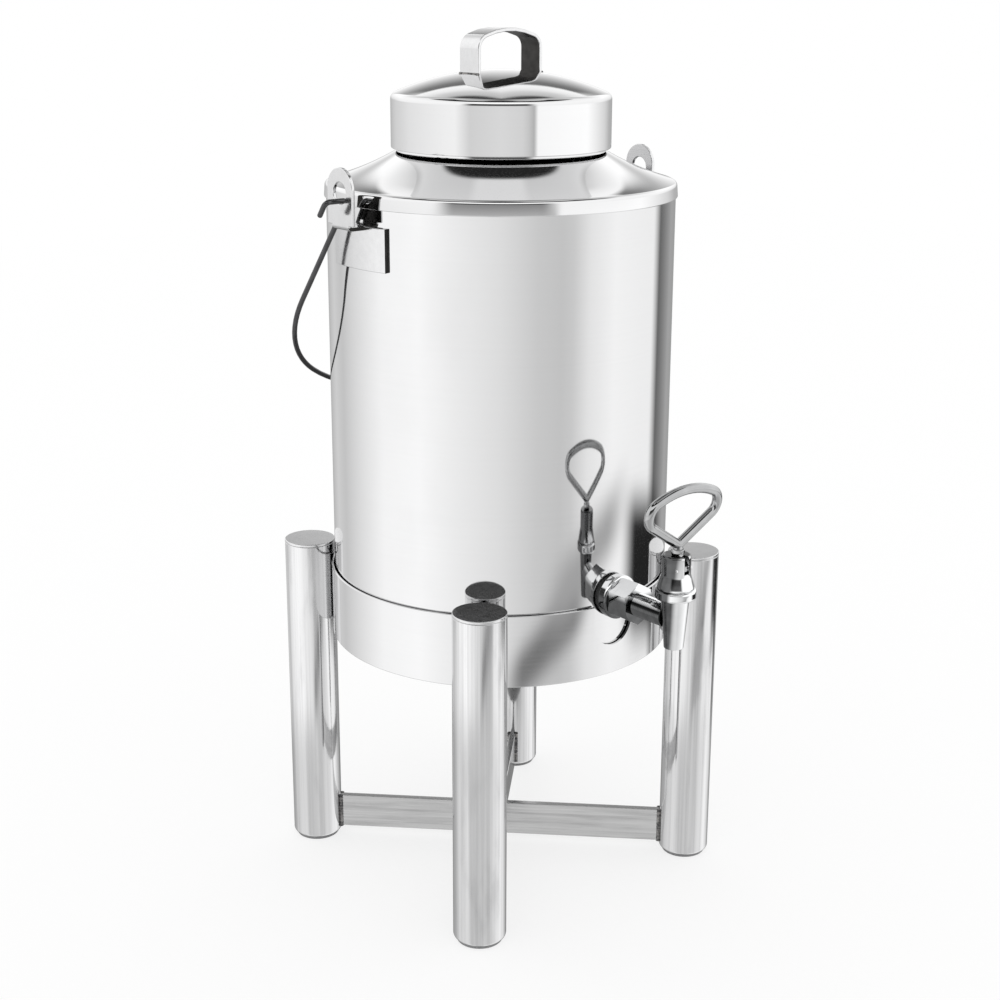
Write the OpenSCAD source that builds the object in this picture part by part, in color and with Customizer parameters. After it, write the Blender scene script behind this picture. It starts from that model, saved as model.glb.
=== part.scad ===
// Milk dispenser: a polished steel churn with a lift-off lid, a swinging bail and a
// self-closing tap, standing in a ring on four tube legs.
// The origin is on the floor on the vessel's axis, +Z is up and the tap faces -Y.

/* [Stand] */
// Outside diameter of each leg tube
leg_d = 36; // [28:1:44]
// Wall of the leg tubes
leg_wall = 1.5; // [1:0.1:2.5]
// Height of the leg tops above the floor
leg_h = 235; // [228:1:300]
// Radius at which the lower end of each leg is spun in
leg_lip_r = 3; // [2.6:0.1:4]
// Thickness of the disc that closes the top of each leg
leg_cap_t = 2; // [1:0.5:4]
// Height that each glide lifts its leg off the floor
glide_lift = 2; // [1:0.5:5]
// Height of the glide's collar inside the tube
glide_collar_h = 4; // [2:0.5:8]
// Height of the support ring's lower edge above the floor
ring_z = 175; // [140:1:185]
// Height of the support ring
ring_h = 50; // [42:1:60]
// Sheet thickness of the support ring
ring_t = 1.6; // [1:0.1:3]
// Gap between the vessel and the support ring
ring_gap = 0.8; // [0.4:0.1:2]
// Gap between the tap's flange and the sides of the ring's notch
notch_gap = 2; // [1:0.5:6]
// Depth of the notch below the tap's flange
notch_drop = 20; // [4:0.5:30]
// Width of the ledge that carries the vessel
ledge_w = 12; // [6:1:20]
// Thickness of the ledge that carries the vessel
ledge_t = 2; // [1:0.5:4]
// Height of the cross bars
bar_h = 25; // [16:1:35]
// Thickness of the cross bars
bar_t = 5; // [3:0.5:8]
// Height of the cross bars' lower edge above the floor
bar_z = 6; // [4:1:60]

/* [Vessel] */
// Outside diameter of the vessel
body_d = 236; // [210:1:280]
// Height of the vessel's wall
body_h = 312; // [250:1:360]
// Sheet thickness of the vessel and the lid
sheet_t = 1.2; // [0.8:0.1:1.6]
// Height of the vessel's floor above its lower edge
floor_recess = 28; // [20:1:36]
// Height of the floor's turned-down flange
floor_flange = 14; // [8:1:18]
// Corner radius of the floor
floor_corner_r = 6; // [3:0.5:8]

/* [Shoulder and neck] */
// Straight height of the shoulder's skirt
skirt_h = 7; // [5:0.5:12]
// Overlap of the skirt on the wall
skirt_lap = 4; // [2:0.5:4.5]
// Radius between the skirt and the cone
shoulder_bend_r = 3; // [2:0.5:6]
// Slope of the shoulder's cone in degrees
shoulder_slope = 23; // [15:1:32]
// Height of the turned-up collar round the neck
collar_h = 4; // [2:0.5:5]
// Outside diameter of the neck
neck_d = 137.6; // [110:0.2:150]
// Height of the neck above the shoulder's cone
neck_h = 33.8; // [28:0.2:44]
// Depth of the neck below the cone
neck_root = 6; // [3:0.5:10]
// Radius of the rolled bead on the neck
bead_r = 2; // [1.6:0.1:3]

/* [Lid] */
// Height of the lid's straight skirt
lid_skirt_h = 31.6; // [24:0.2:33]
// Radius of the lid's dome
lid_dome_r = 180; // [140:1:260]
// Radius of the lid's edge
lid_edge_r = 5; // [3:0.5:8]
// Gap between the neck's bead and the lid's skirt
lid_clearance = 1.2; // [0.6:0.1:3]
// Width of the lid's gasket
gasket_w = 5; // [4:0.5:8]
// Thickness of the lid's gasket over the neck
gasket_t = 3; // [2:0.1:5]
// Overall length of the lid's handle
handle_l = 55; // [40:1:70]
// Height of the handle above the middle of the dome
handle_h = 27; // [22:1:40]
// Width of the handle's strap
handle_w = 19.5; // [12:0.5:26]
// Thickness of the handle's strap
handle_t = 2.4; // [1.5:0.1:4]
// Outside radius of the handle's corners
handle_corner_r = 10; // [6:0.5:14]
// Radius of the handle's crown
handle_crown_r = 60; // [40:1:120]

/* [Ears and bail] */
// Thickness of the ears' plate
ear_t = 2.5; // [1.5:0.1:4]
// Width of the upright ear
ear_w = 27; // [22:1:36]
// Height of the bail hole's centre above the wall's top edge
ear_hole_up = 6; // [2:0.5:12]
// Diameter of the bail hole
ear_hole_d = 14; // [9:0.5:17]
// Width of the base plate on the wall
ear_base_w = 54; // [40:1:70]
// Height of the base plate on the wall
ear_base_h = 28; // [20:1:40]
// Distance of the base plate's top below the wall's top edge
ear_base_drop = 15; // [10:0.5:20]
// Radius inside the ear's bends
ear_bend_r = 1; // [0.5:0.1:2]
// Width of the ear above the bail hole
ear_rim = 9; // [5:0.5:14]
// Gap between the bail's legs and the ears
ear_side_gap = 1.5; // [1:0.1:3]
// Diameter of the bail's wire
bail_d = 3.5; // [3:0.25:6]
// Gap between the wall and the bail's legs
bail_side_gap = 6.5; // [4:0.5:9]
// Distance from the bail's pivot to its crown
bail_reach = 197; // [180:1:240]
// Distance from the axis to the centres of the bail's corners
bail_corner_inset = 28.5; // [15:0.5:40]
// Extra radius of the bail's crown over its corners
bail_crown_extra = 46; // [42:1:80]
// Inside radius of the small bends at the bail's ends
bail_hook_r = 1.6; // [1:0.1:4]
// Length of the bail's straight pivots
bail_pivot_l = 9.5; // [7:0.5:14]
// Length of the bail's turned-down tails
bail_tail_l = 9; // [4:0.5:20]

/* [Tap] */
// Height of the tap's inlet axis above the vessel's floor
tap_up = 24; // [20:0.5:30]
// Distance of the tap's upright axis from the wall
tap_reach = 58; // [52:0.5:80]
// Outside diameter of the threaded shank
shank_d = 15.8; // [14:0.2:18]
// Bore of the shank
shank_bore = 9; // [6:0.5:10]
// Diameter of the flange against the wall
flange_d = 30; // [28:0.5:36]
// Thickness of the flange
flange_t = 6.5; // [4:0.5:9]
// Diameter of the rubber seals on the wall
seal_d = 27; // [24:0.5:28]
// Thickness of the rubber seals at their middle
seal_t = 2; // [1.5:0.1:4]
// Width across the flats of the outer nut
nut_af = 25; // [22:0.5:28]
// Length of the outer nut
nut_l = 17; // [10:0.5:20]
// Width across the flats of the lock nut inside
lock_af = 23; // [20:0.5:26]
// Thickness of the lock nut inside
lock_t = 6; // [4:0.5:9]
// Diameter of the spout's mouth
spout_d = 13; // [11.5:0.5:15]
// Bore of the spout
spout_bore = 8.5; // [6:0.5:9]
// Length of the spout below the inlet axis
spout_drop = 19.7; // [16:0.1:26]
// Diameter of the tap's body under its collar
chamber_d = 18.5; // [17:0.5:20.5]
// Height of the chamber above the inlet axis
chamber_up = 14; // [12:0.5:18]
// Bore of the valve chamber
chamber_bore = 12.5; // [11.5:0.1:13]
// Depth of the valve seat below the inlet axis
seat_down = 5; // [4.6:0.1:6]
// Diameter of the ring that clamps the bonnet
union_d = 27; // [26:0.5:32]
// Height of the ring that clamps the bonnet
union_h = 6.6; // [6:0.1:9]
// Diameter of the bonnet at its foot
bonnet_foot_d = 24; // [22:0.5:26]
// Diameter of the bonnet at its top
bonnet_top_d = 19; // [19:0.5:22]
// Height of the bonnet above the ring
bonnet_h = 22.8; // [21:0.1:28]

/* [Lever and valve] */
// Angle by which the lever leans forward at rest
lever_lean = 9; // [0:1:15]
// Diameter of the lever's loop bar
loop_bar = 6.4; // [4:0.2:8]
// Overall width of the loop
loop_w = 67; // [54:1:80]
// Overall height of the loop
loop_h = 44; // [38:0.5:56]
// Centre-line radius of the loop's upper corners
loop_corner_r = 9; // [6:0.5:11]
// Inside radius of the loop's foot
loop_foot_in = 0.8; // [0.4:0.1:2.8]
// Centre-line radius of the loop's crown
loop_crown_r = 60; // [45:1:90]
// Thickness of the lever's tongue in the bonnet
tongue_t = 3.4; // [2.4:0.2:3.8]
// Diameter of the pivot pin
pin_d = 3; // [2:0.1:3.4]
// Diameter of the valve stem
stem_d = 5; // [4:0.1:5.4]
// Diameter of the stem's forked head
stem_head_d = 6.4; // [6:0.1:7]
// Diameter of the cross pin in the stem's head
stem_pin_d = 2; // [1.6:0.1:2.4]
// Height of the rubber cup on the valve seat
cup_h = 11; // [9:0.5:13]
// Diameter of the return spring's wire
spring_wire = 1; // [0.6:0.1:1.2]
// Turns of the return spring
spring_turns = 6; // [4:1:8]

/* [Hidden] */
$fn = 96;
arc_steps = 16;
round_fn = 360;
ring_sides = 6;
rings_per_turn = 8;
// Clearances between touching curved faces, running fits and moving pieces
weld_gap = 0.05;
run_gap = 0.05;
slide_gap = 0.35;
seat_gap = 0.2;
rest_gap = 0.3;
// How far a cut runs past the face that it opens
cut = 1;
// A bend of a round bar is this much fuller than the stretches that lap into it
bend_swell = 0.1;
bend_lap = 0.3;

// Heights and radii of the vessel, from its seat on the ledge upwards
body_r = body_d/2;
vessel_z = ring_z + ledge_t;
wall_top = vessel_z + body_h;
floor_z = vessel_z + floor_recess;
skirt_z = wall_top - skirt_lap;
skirt_r = body_r + 2*weld_gap + sheet_t;
bend_z = skirt_z + skirt_h;
bend_out = [skirt_r - shoulder_bend_r, bend_z] + shoulder_bend_r*[sin(shoulder_slope), cos(shoulder_slope)];
bend_in = bend_out - sheet_t*[sin(shoulder_slope), cos(shoulder_slope)];
neck_r = neck_d/2;
collar_in = neck_r + weld_gap;
collar_out = collar_in + sheet_t;
cone_top = bend_out.y + (bend_out.x - collar_out)*tan(shoulder_slope);
cone_under = bend_in.y + (bend_in.x - collar_in)*tan(shoulder_slope);
neck_top = cone_top + neck_h;
bead_at = neck_r - sheet_t + bead_r;

// The lid, from the gasket's seat on the neck's bead
lid_r = bead_at + bead_r + lid_clearance + sheet_t;
gasket_z = neck_top + seat_gap;
dome_in_r = lid_dome_r - sheet_t;
dome_z = gasket_z + gasket_t - sqrt(pow(dome_in_r, 2) - pow(bead_at, 2));
dome_top = dome_z + lid_dome_r;
edge_in = lid_r - lid_edge_r;
edge_rise = sqrt(pow(lid_dome_r - lid_edge_r, 2) - pow(edge_in, 2));
edge_z = dome_z + edge_rise;
edge_a = atan2(edge_rise, edge_in);
lid_z = edge_z - lid_skirt_h;
handle_top = dome_top + handle_h;

// The stand round the vessel
ring_in = body_r + ring_gap;
ring_out = ring_in + ring_t;
leg_r = leg_d/2;
leg_circle = ring_out + leg_r + weld_gap;
bar_half = leg_circle - leg_r - weld_gap;
corner_angles = [225, 315, 135, 45];

// The ears and the bail between them
hole_z = wall_top + ear_hole_up;
base_top = wall_top - ear_base_drop;
bail_r = bail_d/2;
bail_half = body_r + bail_side_gap + bail_r;
bail_hook = bail_hook_r + bail_r;
bail_corner_r = bail_half - bail_corner_inset;
bail_crown_r = bail_corner_r + bail_crown_extra;
bail_crown_a = arch_angle(bail_corner_inset, bail_corner_r, bail_crown_r);
bail_spring = bail_reach - arch_rise(bail_corner_inset, bail_corner_r, bail_crown_r);
pivot_z = hole_z - ear_hole_d/2 + bail_r + rest_gap;
bail_tilt = asin((body_r + bail_r + rest_gap)/bail_reach);
ear_in = bail_half + bail_r + ear_side_gap;
ear_out = ear_in + ear_t;
ear_neck_w = 2*((pivot_z - base_top)*tan(bail_tilt) - bail_r/cos(bail_tilt) - 2*rest_gap);

// The tap, from its inlet axis
tap_z = floor_z + sheet_t + tap_up;
tap_y = -(body_r + tap_reach);
notch_w = flange_d + 2*notch_gap;
notch_bottom = tap_z - flange_d/2 - notch_drop;
thread_d = shank_d + 2*weld_gap;
flange_y = -(body_r + seal_t);
nut_y = flange_y - flange_t - weld_gap;
thread_tail = 3;
shank_in_y = -(body_r - sheet_t - seal_t - lock_t - thread_tail);
spout_z = tap_z - spout_drop;
seat_z = tap_z - seat_down;
chamber_z = tap_z + chamber_up;
union_lip = 1.6;
union_step = 1.3;
union_rise = 0.4;
union_bore = chamber_d + 2*union_step;
union_z = chamber_z + union_rise;
union_top = union_z + union_h;
bonnet_flange_t = 1.6;
bonnet_flange_step = 1.1;
neck_up = union_top - union_lip - bonnet_flange_t;
bonnet_z = neck_up + weld_gap;
waist_d = union_bore - 2*bonnet_flange_step;
bonnet_base = union_top + weld_gap;
bonnet_top = bonnet_base + bonnet_h;

// The lever and the valve, from the pivot pin
web_drop = 13.5;
web_t = 4;
web_top = bonnet_top - web_drop;
web_z = web_top - web_t;
toe_r = 1.5;
eye_wall = 0.9;
eye_r = pin_d/2 + eye_wall;
fork_floor_t = 0.9;
fork_depth = 3.5;
head_z = web_top + slide_gap;
fork_z = head_z + fork_floor_t;
pin_z = fork_z + fork_depth;
pin_room = 0.4;
pin_out = eye_r + stem_head_d/2 + pin_room;
pin_y = tap_y - pin_out;
slot_w = tongue_t + 2*slide_gap;
stem_pin_z = pin_z + toe_r + slide_gap + stem_pin_d/2;
fork_tip = 0.8;
head_top = stem_pin_z + stem_pin_d/2 + fork_tip;
cup_d = chamber_bore - 2*slide_gap;
cup_z = seat_z + weld_gap;
cup_top = cup_z + cup_h;
cup_floor = 3;
stem_z = cup_z + cup_floor;
spring_z = cup_top + weld_gap;
spring_h = web_z - weld_gap - spring_z;
spring_room = 1.3;
spring_r = (stem_d + spring_wire)/2 + spring_room;
loop_rise = 4;
loop_forward = 1;
loop_foot_z = bonnet_top + loop_rise;
loop_foot_y = tap_y - loop_forward;
loop_foot_r = loop_foot_in + loop_bar/2;
loop_half = (loop_w - loop_bar)/2;
loop_inset = loop_half - loop_corner_r;
loop_top = loop_h - loop_bar;
loop_foot = [0, loop_foot_r];
loop_crown = [0, loop_top - loop_crown_r];
loop_corner = [loop_inset, loop_top - arch_rise(loop_inset, loop_corner_r, loop_crown_r)];
loop_crown_a = arch_angle(loop_inset, loop_corner_r, loop_crown_r);
loop_slant = loop_corner - loop_foot;
loop_side_a = atan2(loop_slant.y, loop_slant.x) - acos((loop_foot_r - loop_corner_r)/norm(loop_slant));
loop_side_n = [cos(loop_side_a), sin(loop_side_a)];

// Points of an arc in the plane, from angle a to angle b
function arc(c, r, a, b, n = arc_steps) =
    [for (i = [0 : n]) c + r*[cos(a + (b - a)*i/n), sin(a + (b - a)*i/n)]];

// Distance from an arch's springing to its crown's centre line, for corners of radius rc
// whose centres lie inset from the middle, under a crown of radius rb
function arch_rise(inset, rc, rb) = rb - sqrt(pow(rb - rc, 2) - pow(inset, 2));
function arch_angle(inset, rc, rb) = acos(inset/(rb - rc));

// Outline of an arch: straight legs from y0, round corners and a flatter crown
function arch_outline(half, rc, rb, y0, top) =
    let (inset = half - rc, spring = top - arch_rise(inset, rc, rb), a = arch_angle(inset, rc, rb))
    concat(
        [[half, y0]],
        arc([inset, spring], rc, 0, a),
        arc([0, top - rb], rb, a, 180 - a),
        arc([-inset, spring], rc, 180 - a, 180),
        [[-half, y0]]);

// A round bar in the plane: a full bend, and the slimmer straight or arc that laps into it
module bar_bend(c, r, a, b, d) {
    translate([c.x, c.y, 0])
        rotate([0, 0, a])
            rotate_extrude(angle = b - a)
                translate([r, 0])
                    circle(d = d, $fn = 48);
}

module bar_run(p, q, d) {
    v = q - p;
    translate([p.x, p.y, 0])
        rotate([0, 0, atan2(v.y, v.x)])
            rotate([0, 90, 0])
                translate([0, 0, -bend_lap])
                    cylinder(h = norm(v) + 2*bend_lap, d = d - bend_swell, $fn = 48);
}

module bar_crown(c, r, a, d) {
    lap = bend_lap/r*180/PI;
    bar_bend(c, r, a - lap, 180 - a + lap, d - bend_swell);
}

// A cylinder or hexagon along -Y, from y downwards
module along_front(y, z) {
    translate([0, y, z])
        rotate([90, 0, 0])
            children();
}

// A hexagonal nut along +Z with both rims chamfered
module hex_nut(af, h, bore) {
    corner = af/cos(30)/2;
    rim = (corner - af/2)*tan(30);
    difference() {
        intersection() {
            cylinder(h = h, r = corner, $fn = 6);
            rotate_extrude()
                polygon([[0, 0], [af/2, 0], [corner, rim], [corner, h - rim], [af/2, h], [0, h]]);
        }
        translate([0, 0, -cut])
            cylinder(h = h + 2*cut, d = bore);
    }
}

// The leg tube, spun in at the foot
module leg(i) {
    z0 = glide_lift;
    z1 = leg_h - leg_cap_t;
    lip = leg_r - leg_lip_r;
    color("silver")
        rotate([0, 0, corner_angles[i]])
            translate([leg_circle, 0, 0])
                rotate_extrude()
                    polygon(concat(
                        arc([lip, z0 + leg_lip_r], leg_lip_r, -90, 0),
                        [[leg_r, z1], [leg_r - leg_wall, z1]],
                        arc([lip, z0 + leg_lip_r], leg_lip_r - leg_wall, 0, -90)));
}

// The flat disc welded over the top of a leg
module leg_cap(i) {
    edge = leg_cap_t/4;
    z0 = leg_h - leg_cap_t;
    color("gainsboro")
        rotate([0, 0, corner_angles[i]])
            translate([leg_circle, 0, 0])
                rotate_extrude()
                    polygon(concat(
                        [[0, z0], [leg_r, z0]],
                        arc([leg_r - edge, leg_h - edge], edge, 0, 90, 6),
                        [[0, leg_h]]));
}

// The plastic glide, snapped into the spun-in end of a leg
module foot_glide(i) {
    brim = 0.6;
    edge = 0.5;
    snap = 1;
    hole = leg_r - leg_lip_r;
    pad = hole + brim;
    neck = hole - weld_gap;
    collar = leg_r - leg_wall - slide_gap - snap;
    z1 = glide_lift + leg_wall + rest_gap;
    color("dimgray")
        rotate([0, 0, corner_angles[i]])
            translate([leg_circle, 0, 0])
                rotate_extrude()
                    polygon([
                        [0, 0], [pad - edge, 0], [pad, edge], [pad, glide_lift], [neck, glide_lift],
                        [neck, z1], [max(neck, collar), z1 + edge], [neck - snap, z1 + glide_collar_h],
                        [0, z1 + glide_collar_h]]);
}

// The rolled band round the vessel's foot, with a notch that lets the tap lift out
module support_ring() {
    color("gainsboro")
        difference() {
            translate([0, 0, ring_z])
                cylinder(h = ring_h, r = ring_out);
            translate([0, 0, ring_z - cut])
                cylinder(h = ring_h + 2*cut, r = ring_in);
            along_front(-body_r/2, notch_bottom + notch_w/2)
                cylinder(h = body_r, d = notch_w);
            translate([-notch_w/2, -1.5*body_r, notch_bottom + notch_w/2])
                cube([notch_w, body_r, ring_h]);
        }
}

// The flat ring inside the band's lower edge that carries the vessel
module seat_ledge() {
    color("silver")
        translate([0, 0, ring_z])
            difference() {
                cylinder(h = ledge_t, r = ring_in - weld_gap);
                translate([0, 0, -cut])
                    cylinder(h = ledge_t + 2*cut, r = ring_in - ledge_w);
            }
}

// A flat bar between two opposite legs, half-lapped over the other one
module cross_bar(angle, slot_z) {
    color("darkgray")
        rotate([0, 0, angle])
            difference() {
                translate([-bar_half, -bar_t/2, bar_z])
                    cube([2*bar_half, bar_t, bar_h]);
                translate([-bar_t/2 - weld_gap, -bar_t, slot_z])
                    cube([bar_t + 2*weld_gap, 2*bar_t, bar_h]);
            }
}

module cross_bar_lower() {
    cross_bar(45, bar_z + bar_h/2 - weld_gap);
}

module cross_bar_upper() {
    cross_bar(135, bar_z - bar_h/2 + weld_gap);
}

// The rolled wall of the vessel, drilled for the tap
module vessel_wall() {
    color("whitesmoke")
        difference() {
            translate([0, 0, vessel_z])
                cylinder(h = body_h, r = body_r);
            translate([0, 0, vessel_z - cut])
                cylinder(h = body_h + 2*cut, r = body_r - sheet_t);
            along_front(-body_r/2, tap_z)
                cylinder(h = body_r, d = thread_d);
        }
}

// The pressed floor, raised inside the wall on a turned-down flange
module vessel_floor() {
    r = body_r - sheet_t - weld_gap;
    z1 = floor_z + sheet_t;
    c = [r - floor_corner_r, z1 - floor_corner_r];
    color("silver")
        rotate_extrude()
            polygon(concat(
                [[0, floor_z]],
                arc(c, floor_corner_r - sheet_t, 90, 0),
                [[r - sheet_t, z1 - floor_flange], [r, z1 - floor_flange]],
                arc(c, floor_corner_r, 0, 90),
                [[0, z1]]));
}

// The pressed shoulder: a skirt over the wall, a cone and a collar for the neck
module shoulder() {
    c = [skirt_r - shoulder_bend_r, bend_z];
    color("gainsboro")
        rotate_extrude()
            polygon(concat(
                [[skirt_r - sheet_t, skirt_z], [skirt_r, skirt_z]],
                arc(c, shoulder_bend_r, 0, 90 - shoulder_slope),
                [[collar_out, cone_top], [collar_out, cone_top + collar_h]],
                [[collar_in, cone_top + collar_h], [collar_in, cone_under]],
                arc(c, shoulder_bend_r - sheet_t, 90 - shoulder_slope, 0)));
}

// The drawn neck, rolled over into a bead at its mouth
module neck_ring() {
    z0 = cone_under - neck_root;
    bead = [bead_at, neck_top - bead_r];
    back = acos((neck_r - bead_at)/bead_r);
    color("silver")
        rotate_extrude()
            polygon(concat(
                [[neck_r - sheet_t, z0]],
                arc(bead, bead_r, 180, -back, 24),
                [[neck_r, z0]]));
}

// Profile of an ear's bend in X and Z: a shelf from the wall that turns up
module ear_bend_profile() {
    r_out = ear_bend_r + ear_t;
    c = [ear_in - ear_bend_r, base_top + ear_bend_r];
    polygon(concat(
        [[body_r + weld_gap, base_top - ear_t]],
        arc(c, r_out, -90, 0, 8),
        [[ear_out, base_top + 2*ear_bend_r], [ear_in, base_top + 2*ear_bend_r]],
        arc(c, ear_bend_r, 0, -90, 8),
        [[body_r + weld_gap, base_top]]));
}

// The bent ear: a base plate on the wall, a narrow shelf and an upright eye for the bail
module ear() {
    eye_z = hole_z + ear_hole_d/2 + ear_rim - ear_w/2;
    plate_z = base_top - ear_t + ear_bend_r;
    color("whitesmoke")
        union() {
            intersection() {
                difference() {
                    translate([0, 0, base_top - ear_base_h])
                        cylinder(h = ear_base_h, r = body_r + ear_t);
                    translate([0, 0, base_top - ear_base_h - cut])
                        cylinder(h = ear_base_h + 2*cut, r = body_r + weld_gap);
                }
                translate([body_r/2, -ear_base_w/2, base_top - ear_base_h])
                    cube([body_r, ear_base_w, ear_base_h]);
            }
            difference() {
                translate([0, ear_neck_w/2, 0])
                    rotate([90, 0, 0])
                        linear_extrude(ear_neck_w)
                            ear_bend_profile();
                translate([0, 0, base_top - 2*ear_t])
                    cylinder(h = 4*ear_t, r = body_r + weld_gap);
            }
            translate([ear_in, 0, 0])
                rotate([90, 0, 90])
                    linear_extrude(ear_t)
                        difference() {
                            union() {
                                translate([0, eye_z])
                                    circle(d = ear_w);
                                translate([-ear_w/2, plate_z + ear_t])
                                    square([ear_w, eye_z - plate_z - ear_t]);
                            }
                            translate([0, hole_z])
                                circle(d = ear_hole_d);
                        }
        }
}

module ear_left() {
    mirror([1, 0, 0])
        ear();
}

module ear_right() {
    ear();
}

// One side of the bail in its own plane, with y running from the pivot to the crown
module bail_side() {
    pivot_in = bail_half + bail_hook;
    pivot_out = pivot_in + bail_pivot_l;
    tail = pivot_out + bail_hook;
    bar_run([tail, bail_hook + bail_tail_l], [tail, bail_hook], bail_d);
    bar_bend([pivot_out, bail_hook], bail_hook, -90, 0, bail_d);
    bar_run([pivot_out, 0], [pivot_in, 0], bail_d);
    bar_bend([pivot_in, bail_hook], bail_hook, 180, 270, bail_d);
    bar_run([bail_half, bail_hook], [bail_half, bail_spring], bail_d);
    bar_bend([bail_corner_inset, bail_spring], bail_corner_r, 0, bail_crown_a, bail_d);
}

// The wire bail, hooked through the ears and hanging behind the vessel
module bail_wire() {
    color("dimgray")
        translate([0, 0, pivot_z])
            rotate([bail_tilt - 90, 0, 0])
                union() {
                    bail_side();
                    mirror([1, 0, 0])
                        bail_side();
                    bar_crown([0, bail_reach - bail_crown_r], bail_crown_r, bail_crown_a, bail_d);
                }
}

// The spun lid: a straight skirt and a low dome
module lid_shell() {
    edge = [edge_in, edge_z];
    crown = [0, dome_z];
    color("gainsboro")
        rotate_extrude()
            polygon(concat(
                [[lid_r - sheet_t, lid_z], [lid_r, lid_z]],
                arc(edge, lid_edge_r, 0, edge_a, 8),
                arc(crown, lid_dome_r, edge_a, 90, 24),
                arc(crown, dome_in_r, 90, edge_a, 24),
                arc(edge, lid_edge_r - sheet_t, edge_a, 0, 8)));
}

// The strap handle, bent over and trimmed to the dome that it is welded on
module lid_handle() {
    outer = arch_outline(handle_l/2, handle_corner_r, handle_crown_r, dome_z, handle_top);
    inner = arch_outline(
        handle_l/2 - handle_t, handle_corner_r - handle_t, handle_crown_r - handle_t,
        dome_z - cut, handle_top - handle_t);
    color("whitesmoke")
        difference() {
            translate([0, handle_w/2, 0])
                rotate([90, 0, 0])
                    linear_extrude(handle_w)
                        difference() {
                            polygon(outer);
                            polygon(inner);
                        }
            translate([0, 0, dome_z])
                sphere(r = lid_dome_r + weld_gap, $fn = 180);
        }
}

// The rubber ring under the dome that seats on the neck
module lid_gasket() {
    r0 = bead_at - gasket_w/2;
    color("dimgray")
        intersection() {
            translate([0, 0, gasket_z])
                difference() {
                    cylinder(h = 2*gasket_t + gasket_w, r = r0 + gasket_w - bead_r/2);
                    translate([0, 0, -cut])
                        cylinder(h = 3*gasket_t + gasket_w, r = r0);
                }
            translate([0, 0, dome_z])
                sphere(r = dome_in_r - weld_gap, $fn = 180);
        }
}

// The tap's cast body: shank, valve chamber and tapering spout
module tap_body() {
    edge = 0.6;
    collar = union_bore/2 - weld_gap;
    color("silver")
        difference() {
            union() {
                along_front(shank_in_y, tap_z)
                    cylinder(h = shank_in_y - tap_y, d = shank_d);
                translate([0, tap_y, 0])
                    rotate_extrude()
                        polygon(concat(
                            [[0, spout_z], [spout_d/2 - edge, spout_z], [spout_d/2, spout_z + edge]],
                            [[chamber_d/2, chamber_z], [collar, chamber_z + union_rise]],
                            [[collar, neck_up], [0, neck_up]]));
            }
            along_front(shank_in_y + cut, tap_z)
                cylinder(h = shank_in_y - tap_y + cut, d = shank_bore);
            translate([0, tap_y, seat_z])
                cylinder(h = neck_up - seat_z + cut, d = chamber_bore);
            translate([0, tap_y, spout_z - cut])
                cylinder(h = seat_z - spout_z + 2*cut, d = spout_bore);
        }
}

// The rubber seal outside the wall, moulded to its curve
module tap_outer_seal() {
    color("dimgray")
        difference() {
            along_front(-body_r/2, tap_z)
                difference() {
                    cylinder(h = body_r/2 + seal_t, d = seal_d);
                    translate([0, 0, -cut])
                        cylinder(h = body_r, d = thread_d);
                }
            translate([0, 0, tap_z - seal_d])
                cylinder(h = 2*seal_d, r = body_r + weld_gap, $fn = round_fn);
        }
}

// The polished flange that covers the outer seal
module tap_flange() {
    edge = flange_t/4;
    color("silver")
        along_front(flange_y - weld_gap, tap_z)
            rotate_extrude()
                polygon(concat(
                    [[thread_d/2, 0], [flange_d/2, 0]],
                    arc([flange_d/2 - edge, flange_t - edge - weld_gap], edge, 0, 90, 8),
                    [[thread_d/2, flange_t - weld_gap]]));
}

// The hexagon nut outside the flange
module tap_nut() {
    color("silver")
        along_front(nut_y, tap_z)
            hex_nut(nut_af, nut_l, thread_d);
}

// The rubber seal inside the wall, moulded to its curve
module tap_inner_seal() {
    less = 2;
    y1 = body_r - sheet_t - seal_t;
    color("dimgray")
        intersection() {
            along_front(-y1, tap_z)
                difference() {
                    cylinder(h = body_r, d = seal_d - less);
                    translate([0, 0, -cut])
                        cylinder(h = body_r + 2*cut, d = thread_d);
                }
            translate([0, 0, tap_z - seal_d])
                cylinder(h = 2*seal_d, r = body_r - sheet_t - weld_gap, $fn = round_fn);
        }
}

// The lock nut that draws the shank tight from inside
module tap_lock_nut() {
    y1 = body_r - sheet_t - seal_t - weld_gap;
    color("silver")
        along_front(lock_t - y1, tap_z)
            hex_nut(lock_af, lock_t, thread_d);
}

// The ring nut that clamps the bonnet on the tap's body
module union_ring() {
    edge = union_h/4;
    lip_z = union_h - union_lip;
    r = union_d/2;
    color("silver")
        translate([0, tap_y, union_z])
            rotate_extrude()
                polygon(concat(
                    [[union_bore/2, 0]],
                    arc([r - edge, edge], edge, -90, 0, 8),
                    arc([r - edge, union_h - edge], edge, 0, 90, 8),
                    [[waist_d/2 + weld_gap, union_h], [waist_d/2 + weld_gap, lip_z], [union_bore/2, lip_z]]));
}

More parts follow.
